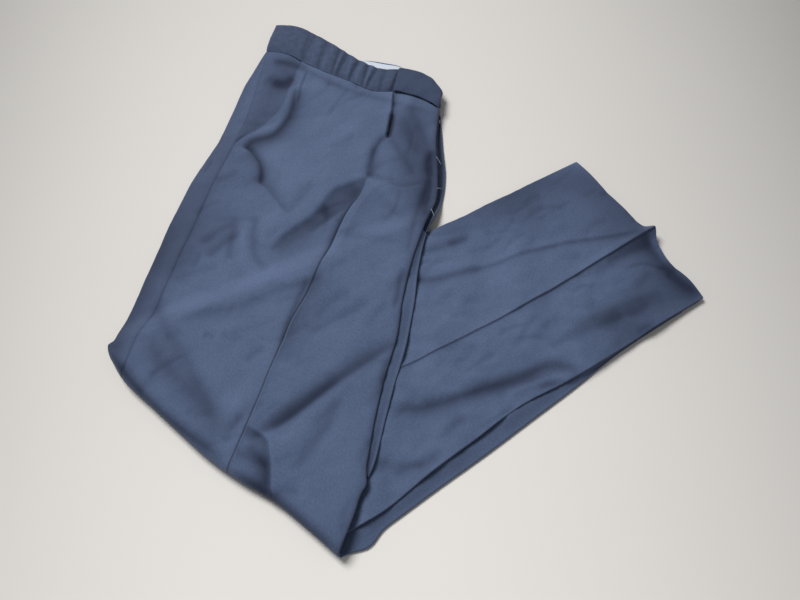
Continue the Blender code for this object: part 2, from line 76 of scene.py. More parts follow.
# The waistband: how far it stands above the pile, the round of its tab, and where the tab ends
BAND_LIFT = 1.0 * MM
TAB_ROUND = 4.2 * MM
TAB_END = 0.720

# How deep and how wide the groove of a seam is, and where the hidden layers make room for hip and band
SEAM_GROOVE = 0.35 * MM
SEAM_REACH = 1.4 * MM
HIP_ROOM = 2.6 * MM
BAND_ROOM = 1.8 * MM

# A fold as deep as this, in millimetres, gets the full painted shade in its hollow
DARK_DEPTH = 5

# Outlines in centimetres on the table, each row a share of the way along, x and y
WAIST_SEAM = [
    (0, -17.0, 35.2), (0.125, -14.1, 34.5), (0.25, -11.6, 32.9), (0.375, -8.9, 31.4), (0.5, -6.2, 30.1),
    (0.625, -3.5, 28.6), (0.75, -0.5, 28.3), (0.875, 2.4, 27.3), (1, 4.8, 25.6),
]
BAND_EDGE = [
    (0, -16.1, 39.7), (0.125, -13.1, 39.2), (0.25, -10.4, 37.6), (0.375, -7.8, 35.7), (0.5, -5.3, 33.7),
    (0.625, -2.5, 32.2), (0.75, 0.7, 31.9), (0.875, 3.5, 30.6), (1, 5.3, 28.0),
]
KNEE_FOLD = [
    (0, -29.6, -7.3), (0.125, -27.7, -9.9), (0.25, -24.7, -12.5), (0.375, -21.7, -15.1), (0.5, -18.6, -17.7),
    (0.625, -15.3, -19.9), (0.75, -11.8, -21.9), (0.875, -8.7, -24.3), (1, -5.6, -26.9),
]
HEM_EDGE = [
    (0, 20.6, 18.0), (0.125, 22.2, 15.8), (0.25, 23.7, 13.4), (0.375, 25.4, 11.1), (0.5, 27.1, 8.9),
    (0.5625, 28.2, 8.4), (0.625, 28.4, 6.9), (0.75, 29.3, 4.3), (0.875, 31.2, 2.1), (1, 32.4, -0.1),
]

# Sections of the upper half: share down; outer edge x, y; inner edge x, y in centimetres; shares across of
# the side seam, pocket mouth and pressed crease; how far the left leg shows past the inner edge
UPPER_SECTIONS = [
    (0.000, -17.0, 35.2, 4.8, 25.6, 0.012, 0.212, 0.730, 0.2),
    (0.083, -18.5, 31.6, 4.3, 21.1, 0.048, 0.216, 0.736, 1.0),
    (0.167, -19.7, 28.1, 4.4, 16.7, 0.074, 0.222, 0.705, 1.1),
    (0.250, -20.6, 24.5, 4.1, 12.3, 0.082, 0.160, 0.695, 0.7),
    (0.333, -21.6, 21.0, 2.5, 7.8, 0.086, 0.086, 0.676, 0.5),
    (0.417, -23.1, 17.6, 1.2, 3.5, 0.096, 0.096, 0.668, 0.9),
    (0.500, -24.4, 14.1, 0.3, -0.8, 0.110, 0.110, 0.662, 1.4),
    (0.583, -25.5, 10.5, -0.3, -5.2, 0.116, 0.116, 0.644, 1.2),
    (0.667, -26.4, 6.9, -1.5, -9.6, 0.118, 0.118, 0.628, 1.2),
    (0.750, -27.3, 3.3, -2.4, -13.9, 0.119, 0.119, 0.616, 1.1),
    (0.833, -28.1, -0.3, -3.1, -18.3, 0.116, 0.116, 0.602, 0.8),
    (0.917, -29.0, -3.9, -4.0, -22.6, 0.108, 0.108, 0.590, 0.0),
    (1.000, -29.6, -7.3, -5.6, -26.9, 0.108, 0.108, 0.586, 0.0),
]

# Sections of the lower half: share along from the knees; outer edge x, y; inner edge x, y in centimetres;
# share across of the pressed crease; how far the right leg shows past the left one
LOWER_SECTIONS = [
    (0.000, -29.6, -7.3, -5.6, -26.9, 0.560, 1.6),
    (0.125, -23.2, -4.3, -0.9, -23.8, 0.548, 1.2),
    (0.250, -16.9, -1.3, 3.8, -20.4, 0.538, 1.5),
    (0.375, -10.5, 1.8, 8.6, -17.0, 0.538, 1.7),
    (0.500, -4.2, 4.8, 13.3, -13.5, 0.552, 1.7),
    (0.625, 2.2, 7.8, 18.0, -10.0, 0.562, 0.8),
    (0.750, 8.4, 11.1, 22.6, -6.4, 0.572, 0.12),
    (0.875, 14.5, 14.6, 27.4, -3.2, 0.568, 0.05),
    (1.000, 20.6, 18.0, 32.4, -0.1, 0.562, 0.05),
]

# Columns of what is read from the sections, after the outlines' four
SIDE_SEAM, POCKET_MOUTH, UPPER_CREASE, LEFT_SHOWS = 4, 5, 6, 7
LOWER_CREASE, RIGHT_SHOWS = 4, 5

# Thickness of the upper half's pile in millimetres: share down, at its outer edge, middle and inner edge
UPPER_THICKNESS = [
    (-1.0, 13.0, 10.5, 12.0), (0.0, 13.5, 11.5, 13.0), (0.1, 11.5, 10.2, 11.5), (0.3, 9.8, 9.4, 9.8),
    (0.6, 9.2, 9.2, 9.2), (1.0, 9.2, 9.2, 9.2),
]

# Folds: places along the fold, x and y in centimetres; rise in millimetres and reach in centimetres on the
# left of the way along; the same on its right; and half the width of the step between them in millimetres
UPPER_FOLDS = [
    ([(-0.8, 28.7), (-1.1, 24.4), (-1.7, 21.4)], (-3.4, 0.55), (2.2, 0.5), 0.8),
    ([(-1.0, 25.1), (-1.2, 23.4), (-1.5, 21.4)], (-3.0, 0.3), (-2.6, 0.25), 1.0),
    ([(-1.3, 22.0), (-2.2, 21.2), (-3.0, 19.6), (-3.6, 17.2), (-3.8, 15.3)], (-2.6, 0.5), (-1.8, 0.4), 0.8),
    ([(-1.2, 21.8), (-0.2, 19.6), (0.8, 17.8), (1.5, 15.7)], (-1.5, 0.6), (-1.3, 0.7), 1.8),
    ([(-3.7, 15.7), (-4.7, 13.0), (-6.0, 10.7), (-6.9, 8.4), (-7.6, 6.2), (-8.3, 3.8)],
     (0.3, 0.4), (-2.3, 0.45), 0.6),
    ([(-9.5, 1.9), (-10.6, -1.2), (-11.4, -3.9), (-12.1, -6.3)], (0.3, 0.4), (-2.0, 0.4), 0.6),
    ([(0.3, 24.4), (0.8, 21.5), (2.3, 18.5)], (-0.9, 0.8), (-0.6, 0.9), 3.0),
    ([(3.9, 19.3), (3.2, 17.5), (3.6, 15.5)], (-1.2, 0.4), (-1.0, 0.4), 1.2),
    ([(3.8, 19.6), (3.2, 13.7), (2.6, 9.4)], (-1.7, 0.7), (-1.5, 0.7), 2.0),
    ([(-3.8, 16.3), (-2.1, 15.3), (-0.5, 15.2)], (-1.1, 0.4), (-1.1, 0.35), 1.5),
    ([(-1.5, 14.6), (0.3, 14.1), (2.7, 14.7)], (-1.2, 0.45), (0.6, 0.5), 1.5),
    ([(-16.4, 31.0), (-15.1, 29.6), (-14.0, 30.0), (-12.8, 31.5)], (-2.2, 0.9), (-1.9, 0.8), 1.6),
    ([(-12.9, 29.3), (-13.6, 24.6), (-14.9, 22.3), (-17.8, 21.0), (-18.4, 19.5)],
     (-2.4, 1.1), (-1.2, 0.4), 1.2),
    ([(-18.8, 20.3), (-17.4, 18.9), (-16.4, 17.2), (-16.2, 14.6)], (-2.6, 0.8), (1.2, 0.7), 1.6),
    ([(-17.1, 15.3), (-15.4, 14.0), (-13.8, 11.9), (-12.6, 10.3)], (-1.8, 0.8), (0.8, 0.7), 1.8),
    ([(-22.0, 6.4), (-20.2, 8.2), (-17.9, 9.6)], (-1.5, 0.6), (-1.3, 0.6), 2.0),
    ([(-21.0, 4.6), (-19.4, 6.6), (-17.6, 8.0)], (-1.5, 0.5), (-1.3, 0.6), 1.8),
    ([(-17.0, 9.5), (-17.2, 7.5), (-16.9, 5.9), (-16.3, 4.5)], (0.9, 0.45), (0.9, 0.45), 1.8),
    ([(-16.0, 10.3), (-16.2, 7.5), (-15.7, 4.8), (-14.3, 3.0)], (-1.7, 0.6), (-1.5, 0.5), 1.8),
    ([(-18.3, 9.1), (-18.6, 6.4), (-18.4, 4.2)], (-1.3, 0.5), (-1.3, 0.5), 1.8),
    ([(-3.6, 15.7), (-5.9, 14.6), (-7.7, 13.6), (-8.8, 11.8), (-9.6, 10.6), (-11.2, 9.1), (-12.6, 7.9),
      (-14.4, 5.7)], (-2.6, 2.2), (1.1, 1.1), 2.6),
    ([(-4.3, 14.4), (-6.1, 11.4), (-8.2, 9.5), (-10.1, 7.8)], (0.5, 0.8), (-1.7, 0.9), 2.5),
    ([(-22.9, -3.0), (-19.9, -2.4), (-17.0, -1.7), (-14.1, -0.3), (-11.9, 0.7), (-9.7, 1.3), (-8.0, 2.2)],
     (-0.9, 0.5), (-1.5, 1.0), 2.5),
    ([(-25.8, -4.8), (-23.9, -8.3), (-21.6, -10.4), (-19.2, -12.6), (-16.9, -15.8)],
     (-1.2, 1.3), (-1.2, 1.2), 3.0),
    ([(-26.1, -0.5), (-23.4, -5.3), (-21.4, -8.0), (-19.7, -11.0), (-17.4, -14.5)],
     (-1.4, 0.7), (-1.4, 0.8), 2.0),
    ([(-3.2, -1.0), (-5.2, -2.4), (-6.9, -3.3), (-8.6, -4.4), (-9.7, -4.8)], (-1.5, 0.5), (-1.0, 0.9), 1.5),
    ([(-5.1, -0.0), (-7.0, -1.2), (-8.7, -3.1)], (-0.9, 0.7), (-0.9, 0.7), 2.0),
    ([(-0.5, -5.7), (-3.4, -7.9), (-6.6, -10.2), (-9.8, -12.9), (-11.9, -14.5), (-13.9, -15.6),
      (-14.8, -16.2)], (-3.6, 0.55), (-3.4, 0.8), 1.5),
    ([(-5.8, -9.8), (-9.8, -13.1), (-12.5, -15.0)], (-1.0, 0.5), (-1.4, 1.2), 1.5),
    ([(-14.9, -14.7), (-12.7, -16.3), (-12.3, -18.1), (-11.9, -21.6), (-11.7, -22.4)],
     (1.0, 0.8), (-2.6, 1.3), 1.0),
    ([(-5.8, -11.8), (-7.0, -14.8), (-8.6, -17.2), (-10.0, -19.5)], (-1.5, 0.6), (-1.5, 0.8), 2.0),
    ([(-4.4, -21.5), (-5.0, -23.1), (-5.3, -25.4)], (-0.7, 0.25), (-0.7, 0.25), 1.0),
    ([(-15.6, -17.6), (-13.9, -18.1), (-12.4, -18.8)], (-1.2, 0.5), (-1.2, 0.5), 1.5),
    ([(-12.0, -21.4), (-10.9, -21.2), (-9.3, -21.2)], (-1.2, 0.5), (-1.2, 0.5), 2.0),
    ([(-20.2, -5.0), (-18.9, -5.4)], (-1.2, 0.4), (-1.2, 0.4), 1.5),
    ([(-13.7, -6.3), (-15.6, -8.1)], (-0.9, 0.5), (-0.9, 0.5), 1.5),
    ([(0.5, 2.8), (0.1, 1.7), (-0.2, -0.2), (-0.6, -2.1)], (-2.0, 0.35), (-1.6, 0.3), 1.0),
    ([(-1.3, -7.6), (-1.6, -9.2), (-1.8, -10.6)], (-1.2, 0.3), (-1.0, 0.3), 1.0),
    ([(-1.1, -1.2), (-2.6, -3.0), (-3.4, -4.3)], (-1.0, 0.5), (-1.0, 0.5), 1.5),
    ([(3.6, 15.3), (2.1, 11.4), (1.2, 7.0), (0.7, 4.3)], (-1.6, 0.5), (-1.2, 0.6), 1.5),
    ([(-11.6, 31.9), (-12.3, 29.3), (-12.6, 26.9)], (-1.4, 0.3), (0.6, 0.3), 0.6),
    ([(-9.7, 14.8), (-11.5, 12.5), (-12.7, 10.5)], (-1.0, 0.6), (-0.8, 0.6), 2.0),
    ([(-2.9, 14.1), (-1.1, 11.4), (0.7, 9.7)], (-0.7, 0.6), (-0.7, 0.6), 2.0),
    ([(-6.6, 8.0), (-3.8, 7.0), (0.7, 5.9)], (-0.9, 0.6), (-0.9, 0.6), 2.0),
    ([(-15.2, -13.8), (-16.2, -15.2), (-17.0, -16.4)], (-0.9, 0.6), (-0.9, 0.6), 2.0),
]
LOWER_FOLDS = [
    ([(-1.1, -13.1), (1.9, -12.7), (4.5, -12.1), (8.5, -10.5), (12.5, -9.3), (15.7, -8.1), (17.7, -8.5),
      (18.5, -9.3)], (-3.4, 0.65), (-3.0, 0.9), 2.0),
    ([(10.6, -11.3), (14.7, -9.7), (17.2, -9.1)], (1.2, 0.5), (1.2, 0.5), 2.0),
    ([(14.0, -10.5), (16.2, -10.0), (18.3, -9.3)], (-2.2, 0.35), (-1.6, 0.5), 1.5),
    ([(0.6, 2.4), (3.0, 2.0), (6.3, 2.7), (9.2, 3.7)], (-2.0, 0.4), (-2.4, 0.7), 1.5),
    ([(7.3, 3.0), (10.1, 4.0), (13.6, 5.4), (18.9, 6.8), (23.9, 7.7), (27.2, 8.5)],
     (0.6, 0.8), (-1.5, 0.7), 1.5),
    ([(2.1, 5.3), (5.0, 6.2), (7.8, 7.3)], (-1.6, 0.5), (-1.6, 0.6), 1.5),
    ([(17.1, -5.1), (19.8, -3.0), (23.6, -1.3), (28.3, 0.5)], (-1.2, 0.6), (-1.2, 1.2), 3.0),
    ([(19.2, -4.3), (22.5, -2.9), (26.4, -0.8)], (-0.7, 0.6), (-0.7, 0.6), 2.0),
    ([(15.5, -5.9), (18.1, -4.8)], (-0.9, 0.5), (-0.9, 0.5), 2.0),
    ([(-2.6, -17.9), (-0.6, -18.6), (1.3, -18.6), (3.2, -17.7), (4.1, -17.0)], (-1.4, 0.7), (-1.4, 0.9), 2.0),
    ([(22.5, 4.1), (25.5, 5.5), (28.0, 6.7)], (-1.0, 0.5), (-1.2, 0.7), 2.0),
]

# Painted shade: where the cloth's colour is darkened to stand in for shade, in the same form, with a share of
# darkness in the place of the rise
UPPER_SHADES = [
    ([(-1.1, 25.0), (-1.2, 23.4), (-1.4, 21.5)], (0.9, 0.3), (0.7, 0.22), 1.0),
    ([(-16.1, 33.3), (-13.8, 33.2), (-11.4, 32.1)], (0.4, 0.6), (0.4, 0.6), 2.0),
    ([(-15.7, 30.4), (-14.3, 29.8), (-13.1, 30.8)], (0.4, 0.7), (0.4, 0.6), 2.0),
    ([(-12.7, 29.3), (-13.5, 24.6), (-14.8, 22.1), (-17.8, 20.6), (-18.4, 19.5)],
     (0.5, 1.6), (0.45, 0.45), 2.0),
    ([(-18.0, 19.6), (-16.7, 18.1), (-16.1, 16.5), (-16.2, 14.3)], (0.35, 0.7), (0.5, 1.1), 2.0),
    ([(-8.2, 11.9), (-11.2, 8.6), (-15.1, 4.8)], (0.22, 1.6), (0.22, 1.6), 3.0),
    ([(-17.3, 9.7), (-19.5, 8.0), (-21.0, 4.8)], (0.15, 1.6), (0.15, 1.6), 3.0),
    ([(0.8, 26.3), (2.9, 20.3), (3.1, 13.7), (2.2, 8.0)], (0.5, 1.0), (0.45, 2.6), 3.0),
    ([(0.2, 26.0), (1.3, 19.6), (0.8, 14.8), (-0.7, 12.5)], (0.22, 1.8), (0.22, 2.0), 3.0),
    ([(-12.5, 26.2), (-6.5, 25.4), (-2.5, 24.0)], (0.07, 3.2), (0.07, 3.2), 3.0),
    ([(-20.0, 16.5), (-17.0, 15.0), (-13.5, 14.5)], (0.12, 2.0), (0.12, 2.4), 3.0),
    ([(0.8, 26.7), (3.3, 25.7), (4.6, 22.8)], (0.25, 2.0), (0.25, 2.0), 3.0),
    ([(-18.6, 23.4), (-20.8, 16.0), (-23.5, 7.0), (-25.1, 1.7)], (0.3, 2.6), (0.3, 2.0), 3.0),
    ([(-12.5, 33.5), (-7.0, 30.4), (-3.0, 28.4)], (0.1, 2.6), (0.1, 2.6), 3.0),
    ([(3.6, 24.4), (3.9, 18.0), (3.0, 12.0), (1.6, 6.0)], (0.12, 2.4), (0.12, 2.4), 3.0),
    ([(-3.1, 20.3), (-3.1, 17.8), (-3.4, 15.3)], (0.3, 0.8), (0.4, 0.5), 1.0),
    ([(-3.0, 14.5), (-5.5, 9.7), (-7.2, 4.8)], (0.22, 2.4), (0.0, 0.3), 1.0),
    ([(-8.3, 3.3), (-9.7, 0.7), (-11.2, -3.2), (-12.6, -7.9)], (0.4, 1.8), (0.3, 0.5), 1.0),
    ([(-4.5, 14.4), (-7.2, 12.5), (-9.0, 10.3)], (0.26, 1.8), (0.26, 1.4), 3.0),
    ([(-14.5, 33.1), (-16.0, 28.0), (-17.9, 22.0)], (0.12, 2.0), (0.12, 3.0), 3.0),
    ([(-16.7, 33.9), (-11.6, 31.8), (-6.3, 28.7), (-1.2, 26.9), (4.6, 24.7)], (0.25, 0.4), (0.3, 0.6), 3.0),
    ([(-29.6, -7.0), (-24.1, -12.8), (-16.6, -18.2)], (0.75, 0.6), (0.75, 0.6), 3.0),
    ([(-16.0, -19.2), (-11.8, -21.7), (-8.5, -24.4), (-5.7, -26.7)], (0.75, 0.6), (0.75, 0.6), 3.0),
    ([(-14.7, -16.5), (-12.7, -18.6), (-12.5, -20.7)], (0.35, 0.5), (0.45, 1.1), 1.0),
    ([(-25.8, -4.8), (-23.0, -9.2), (-19.2, -13.2), (-17.0, -16.2)], (0.2, 1.4), (0.2, 1.4), 3.0),
]
LOWER_SHADES = [
    ([(26.9, 8.5), (28.1, 5.2), (30.2, 2.0), (32.2, 0.4)], (0.2, 0.6), (0.35, 1.0), 3.0),
    ([(3.1, 8.2), (11.6, 12.8), (20.6, 17.8)], (0.4, 0.8), (0.42, 2.2), 3.0),
    ([(6.0, -11.0), (10.5, -9.8), (15.6, -8.8)], (0.08, 0.8), (0.3, 1.7), 3.0),
    ([(8.5, 9.4), (12.5, 10.4), (16.5, 11.2)], (0.16, 2.0), (0.16, 2.4), 3.0),
    ([(20.7, 17.7), (26.9, 8.9), (28.2, 4.7), (32.4, 0.0)], (0.3, 1.0), (0.4, 2.4), 3.0),
    ([(20.2, -3.5), (24.5, -1.8), (27.9, -0.5), (31.3, 0.1), (34.1, 0.6)], (0.36, 2.2), (0.36, 2.8), 5.0),
    ([(17.8, -4.8), (20.7, -3.1), (23.6, -2.0)], (0.25, 1.0), (0.25, 1.0), 3.0),
    ([(11.7, -1.8), (16.5, 1.1), (21.5, 4.0), (27.2, 7.7)], (0.1, 0.4), (0.25, 0.9), 2.0),
    ([(29.2, 4.7), (30.7, 2.5), (32.6, 0.1)], (0.3, 2.0), (0.3, 2.0), 4.0),
    ([(10.1, 11.6), (15.1, 13.4), (20.2, 14.0), (25.0, 8.6), (26.1, 3.0), (23.5, -2.3)],
     (0.24, 3.2), (0.24, 3.2), 3.0),
    ([(12.3, 7.5), (18.1, 8.1), (24.9, 8.1)], (0.14, 2.5), (0.14, 1.5), 3.0),
    ([(19.2, -8.2), (23.1, -5.3), (27.0, -3.3)], (0.35, 1.3), (0.35, 1.3), 3.0),
]

# Waves of the gathered waistband: share across, half width as a share, rise in millimetres; then how many
# times fuller they stand, and how far they lean to either side as a share
BAND_WAVES = [
    (0.20, 0.014, -0.6), (0.23, 0.010, -0.5), (0.27, 0.020, 0.5), (0.305, 0.012, -0.7),
    (0.35, 0.018, 0.5), (0.385, 0.011, -0.9), (0.41, 0.009, 0.7), (0.435, 0.012, -1.0),
    (0.47, 0.014, 0.8), (0.505, 0.010, -1.2), (0.535, 0.014, 0.9), (0.560, 0.009, -1.2),
    (0.585, 0.012, 1.0), (0.610, 0.008, -1.0), (0.655, 0.012, -0.7),
]
WAVES_FULLER = 1.4
WAVES_LEAN = 0.014

# Pale tacks in the fly: share down, and how far each slants as a share
FLY_TACKS = [(0.142, 0.004), (0.218, -0.006), (0.290, 0.005)]
THREAD = 0.3 * MM

# Small uneven waves of each half: their rise, the longest one and the seed that they are drawn from; then
# how many of them cross, and about how large their sum is
UPPER_WAVES = [(0.7 * MM, 7 * CM, 3), (0.13 * MM, 1.8 * CM, 4)]
LOWER_WAVES = [(1.1 * MM, 8 * CM, 5), (0.3 * MM, 2.2 * CM, 6)]
CROSSING_WAVES = 28
USUAL_SUM = 4

# Faint strewn creases: half their length and their reach in centimetres, their bend and depth as shares
FAINT_LENGTH = (0.9, 2.8)
FAINT_REACH = (0.22, 0.55)
FAINT_BEND = 0.35
FAINT_DEPTH = (0.25, 0.75)

# The fold of the hidden layers at the outer edge: inset in millimetres, and where its upper and lower
# faces are as shares of the room
LOBE = [(0.6, 0.64, 0.36), (0.85, 0.8, 0.2), (1.4, 0.92, 0.08), (2.6, 1.0, 0.0), (4.6, 1.0, 0.0)]

# How the pile sinks at its outer and inner edges, as a depth in millimetres and a reach as a share across;
# then how deep it sinks at the knees' roll and at the hem's inner corner
UPPER_SLOPES = ((2.5, 0.13), (0.8, 0.05))
LOWER_SLOPES = ((2.2, 0.12), (0.6, 0.05))
KNEE_SLOPE = 1.4
HEM_DROOP = 2.6

# Bulges of the edges: how far out, where the middle is and how wide, as shares of the way along; for the
# peak at the knees' roll the last two are metres past it
FRONT_BULGE = (4 * MM, 0.885, 0.018)
STRIP_BULGE = (7 * MM, 0.06, 0.034)
KNEE_PEAK = (8 * MM, 2 * MM, 9 * MM)

# Edges of the hidden layers, the pressed crease and the lip that it makes in the hem
LOW_TURN = 2.8 * MM
PRESSED_CREASE = 1.2 * MM
CREASE_REACH = 2.4 * MM
HEM_LIP = 6.0 * MM
LIP_WIDTH = 0.034


def smooth(table, at):
    """The table's other columns, read at a value of its first one, on a curve through every row."""
    rows = np.array(table, float)
    key = rows[:, 0]
    values = rows[:, 1:]
    slope = np.gradient(values, key, axis=0)
    at = np.clip(at, key[0], key[-1])
    i = np.clip(np.searchsorted(key, at) - 1, 0, len(key) - 2)
    span = (key[i + 1] - key[i])[..., None]
    s = (at - key[i])[..., None] / span
    a, b = values[i], values[i + 1]
    da, db = slope[i] * span, slope[i + 1] * span
    return a + s * da + s**2 * (3 * (b - a) - 2 * da - db) + s**3 * (2 * (a - b) + da + db)


def ease(x):
    """From 0 to 1 as x does, level at both ends."""
    x = np.clip(x, 0, 1)
    return x * x * (3 - 2 * x)


def hill(x, middle, wide):
    """From 1 at the middle down to 0 on both sides."""
    return np.exp(-(((x - middle) / wide) ** 2))


def bulge(along, far, middle, wide):
    """How far an edge stands out in each row."""
    return far * hill(along, middle, wide)[:, None]


def slopes(u, outer, inner):
    """How deep the pile sinks towards its two edges, each given as a depth and a reach."""
    by_outer = outer[0] * np.clip(1 - u / outer[1], 0, 1) ** 2
    return by_outer + inner[0] * np.clip(1 - (1 - u) / inner[1], 0, 1) ** 2


def unit(vectors):
    """The same directions, each 1 long."""
    return vectors / np.maximum(np.linalg.norm(vectors, axis=-1, keepdims=True), 1e-9)


def patch(start, end, sides, u, v):
    """A place in centimetres on the table inside four outlines, at shares u across and v along."""
    zero, one = np.zeros_like(u), np.ones_like(u)
    across, along = u[..., None], v[..., None]
    near, far = smooth(start, u), smooth(end, u)
    edges = smooth(sides, v)
    corners = (1 - along) * ((1 - across) * smooth(start, zero) + across * smooth(start, one))
    corners = corners + along * ((1 - across) * smooth(end, zero) + across * smooth(end, one))
    between = (1 - across) * edges[..., 0:2] + across * edges[..., 2:4]
    return (1 - along) * near + along * far + between - corners


def upper_plan(u, v):
    """Where the upper half lies, in metres: v is -1 at the band's edge, 0 at its seam, 1 at the knees."""
    u, v = np.broadcast_arrays(np.asarray(u, float), np.asarray(v, float))
    leg = patch(WAIST_SEAM, KNEE_FOLD, UPPER_SECTIONS, u, np.maximum(v, 0))
    band = (smooth(BAND_EDGE, u) - smooth(WAIST_SEAM, u)) * np.maximum(-v, 0)[..., None]
    return (leg + band) * CM - MIDDLE


def lower_plan(u, v):
    """Where the lower half lies, in metres: v is 0 at the knees' fold and 1 at the hems."""
    u, v = np.broadcast_arrays(np.asarray(u, float), np.asarray(v, float))
    return patch(KNEE_FOLD, HEM_EDGE, LOWER_SECTIONS, u, v) * CM - MIDDLE


def curve_through(points, steps=4):
    """More points on a smooth curve through these ones."""
    points = np.array(points, float)
    reach = np.concatenate([[0], np.cumsum(np.linalg.norm(np.diff(points, axis=0), axis=1))])
    table = np.column_stack([reach, points])
    return smooth(table, np.linspace(0, reach[-1], steps * (len(points) - 1) + 1))


def beside(curve, plan):
    """For each place, the nearest share along the curve, and the distance to it, above 0 on the left."""
    share_along = np.zeros(plan.shape[:-1])
    near = np.full(plan.shape[:-1], np.inf)
    side = np.ones(plan.shape[:-1])
    for k, (a, b) in enumerate(zip(curve[:-1], curve[1:])):
        run = b - a
        t = np.clip((plan - a) @ run / (run @ run), 0, 1)
        off = plan - a - t[..., None] * run
        far = np.linalg.norm(off, axis=-1)
        closer = far < near
        near = np.where(closer, far, near)
        share_along = np.where(closer, (k + t) / (len(curve) - 1), share_along)
        side = np.where(closer, np.sign(run[0] * off[..., 1] - run[1] * off[..., 0]), side)
    return share_along, near * side


def swell(folds, plan):
    """How far the folds raise or sink the cloth at each place, in their table's own unit."""
    flat = plan.reshape(-1, 2)
    rise = np.zeros(len(flat))
    for points, left, right, step in folds:
        curve = curve_through(points) * CM - MIDDLE
        margin = 3 * max(left[1], right[1]) * CM
        inside = np.all((flat > curve.min(axis=0) - margin) & (flat < curve.max(axis=0) + margin), axis=1)
        t, off = beside(curve, flat[inside])
        side = 0.5 + 0.5 * np.tanh(off / (step * MM))
        high, wide = (a * side + b * (1 - side) for a, b in zip(left, right))
        rise[inside] += high * np.exp(-((np.abs(off) / (wide * CM)) ** 1.6)) * (1 - np.abs(2 * t - 1) ** 6)
    return rise.reshape(plan.shape[:-1])


def faint_creases(low, high, count, depth, seed, slant, stray):
    """Faint short creases strewn between two corners in centimetres, most of them near a slant in degrees."""
    lot = np.random.default_rng(seed)
    rows = []
    for _ in range(count):
        middle = lot.uniform(low, high)
        angle = np.radians(lot.normal(slant, stray))
        run = lot.uniform(*FAINT_LENGTH) * np.array([np.cos(angle), np.sin(angle)])
        bend = lot.uniform(-FAINT_BEND, FAINT_BEND) * np.array([-run[1], run[0]])
        side = (-depth * lot.uniform(*FAINT_DEPTH), lot.uniform(*FAINT_REACH))
        rows.append(([middle + run, middle + bend, middle - run], side, side, 1.0))
    return rows


def ripple(plan, rise, longest, seed):
    """Small uneven waves of the cloth, in metres, from many crossing ones."""
    lot = np.random.default_rng(seed)
    total = np.zeros(plan.shape[:-1])
    for _ in range(CROSSING_WAVES):
        length = longest * lot.uniform(0.3, 1.0)
        angle = lot.uniform(0, np.pi)
        way = np.array([np.cos(angle), np.sin(angle)]) * 2 * np.pi / length
        total += np.sin(plan @ way + lot.uniform(0, 2 * np.pi)) * length / longest
    return total * rise / USUAL_SUM


def bed(plan):
    """The height of what the upper half lies on: the table, or the lower half past its outer edge."""
    start, end = lower_plan(0, 0), lower_plan(0, 0.625)
    along = unit(end - start)
    inside = (plan - start) @ np.array([along[1], -along[0]])
    return (LEG_STACK + LAYER_GAP) * ease(inside / RISE + 1.3)


def share(length, plan, v):
    """A length across a half as a share of its width there."""
    return length / np.linalg.norm(plan(np.ones_like(v), v) - plan(np.zeros_like(v), v), axis=-1)


def pressed(u, v, sections, column, plan):
    """The pressed crease's ridge, from 0 to 1."""
    crease = smooth(sections, v)[..., column]
    off = (u - crease) / share(1.0, plan, np.clip(v, 0, 1))
    return np.exp(-np.abs(off) / CREASE_REACH)


UPPER_FOLDS += faint_creases((-26, -22), (3, 31), count=90, depth=1.0, seed=11, slant=40, stray=26)
LOWER_FOLDS += faint_creases((-5, -24), (31, 16), count=110, depth=1.1, seed=12, slant=28, stray=12)


def upper_thickness(u, v):
    """The upper half's pile above what it lies on, in metres."""
    u, v = np.broadcast_arrays(np.asarray(u, float), np.asarray(v, float))
    outer, middle, inner = np.moveaxis(smooth(UPPER_THICKNESS, v), -1, 0)
    loft = (1 - u) * (1 - 2 * u) * outer + 4 * u * (1 - u) * middle + u * (2 * u - 1) * inner
    slope = slopes(u, *UPPER_SLOPES) + KNEE_SLOPE * ease((v - 0.92) / 0.08)
    pressed_in = ease((v - 0.52) / 0.12)
    ridge = PRESSED_CREASE * pressed(u, v, UPPER_SECTIONS, UPPER_CREASE, upper_plan) * pressed_in
    plan = upper_plan(u, v)
    waves = sum(ripple(plan, *each) for each in UPPER_WAVES) * ease(v / 0.05)
    return (loft - slope) * MM + ridge + swell(UPPER_FOLDS, plan) * MM * ease(v / 0.012 + 0.4) + waves


def lower_thickness(u, v):
    """The lower half's pile above the table, in metres."""
    u, v = np.broadcast_arrays(np.asarray(u, float), np.asarray(v, float))
    slope = slopes(u, *LOWER_SLOPES)
    droop = HEM_DROOP * ease((v - 0.86) / 0.14) * ease((u - 0.62) / 0.34)
    crease = smooth(LOWER_SECTIONS, v)[..., LOWER_CREASE]
    lip = HEM_LIP * ease((v - 0.7) / 0.3) ** 2 * hill(u, crease, LIP_WIDTH)
    sharper = 0.4 + 0.6 * ease((v - 0.5) / 0.3)
    ridge = PRESSED_CREASE * pressed(u, v, LOWER_SECTIONS, LOWER_CREASE, lower_plan) * sharper
    plan = lower_plan(u, v)
    folded = swell(LOWER_FOLDS, plan) * MM * ease((0.97 - u) / 0.06)
    waves = sum(ripple(plan, *each) for each in LOWER_WAVES) * (1 - 0.8 * ease((v - 0.84) / 0.1))
    return LEG_STACK - (slope + droop) * MM + lip + ridge + folded + waves


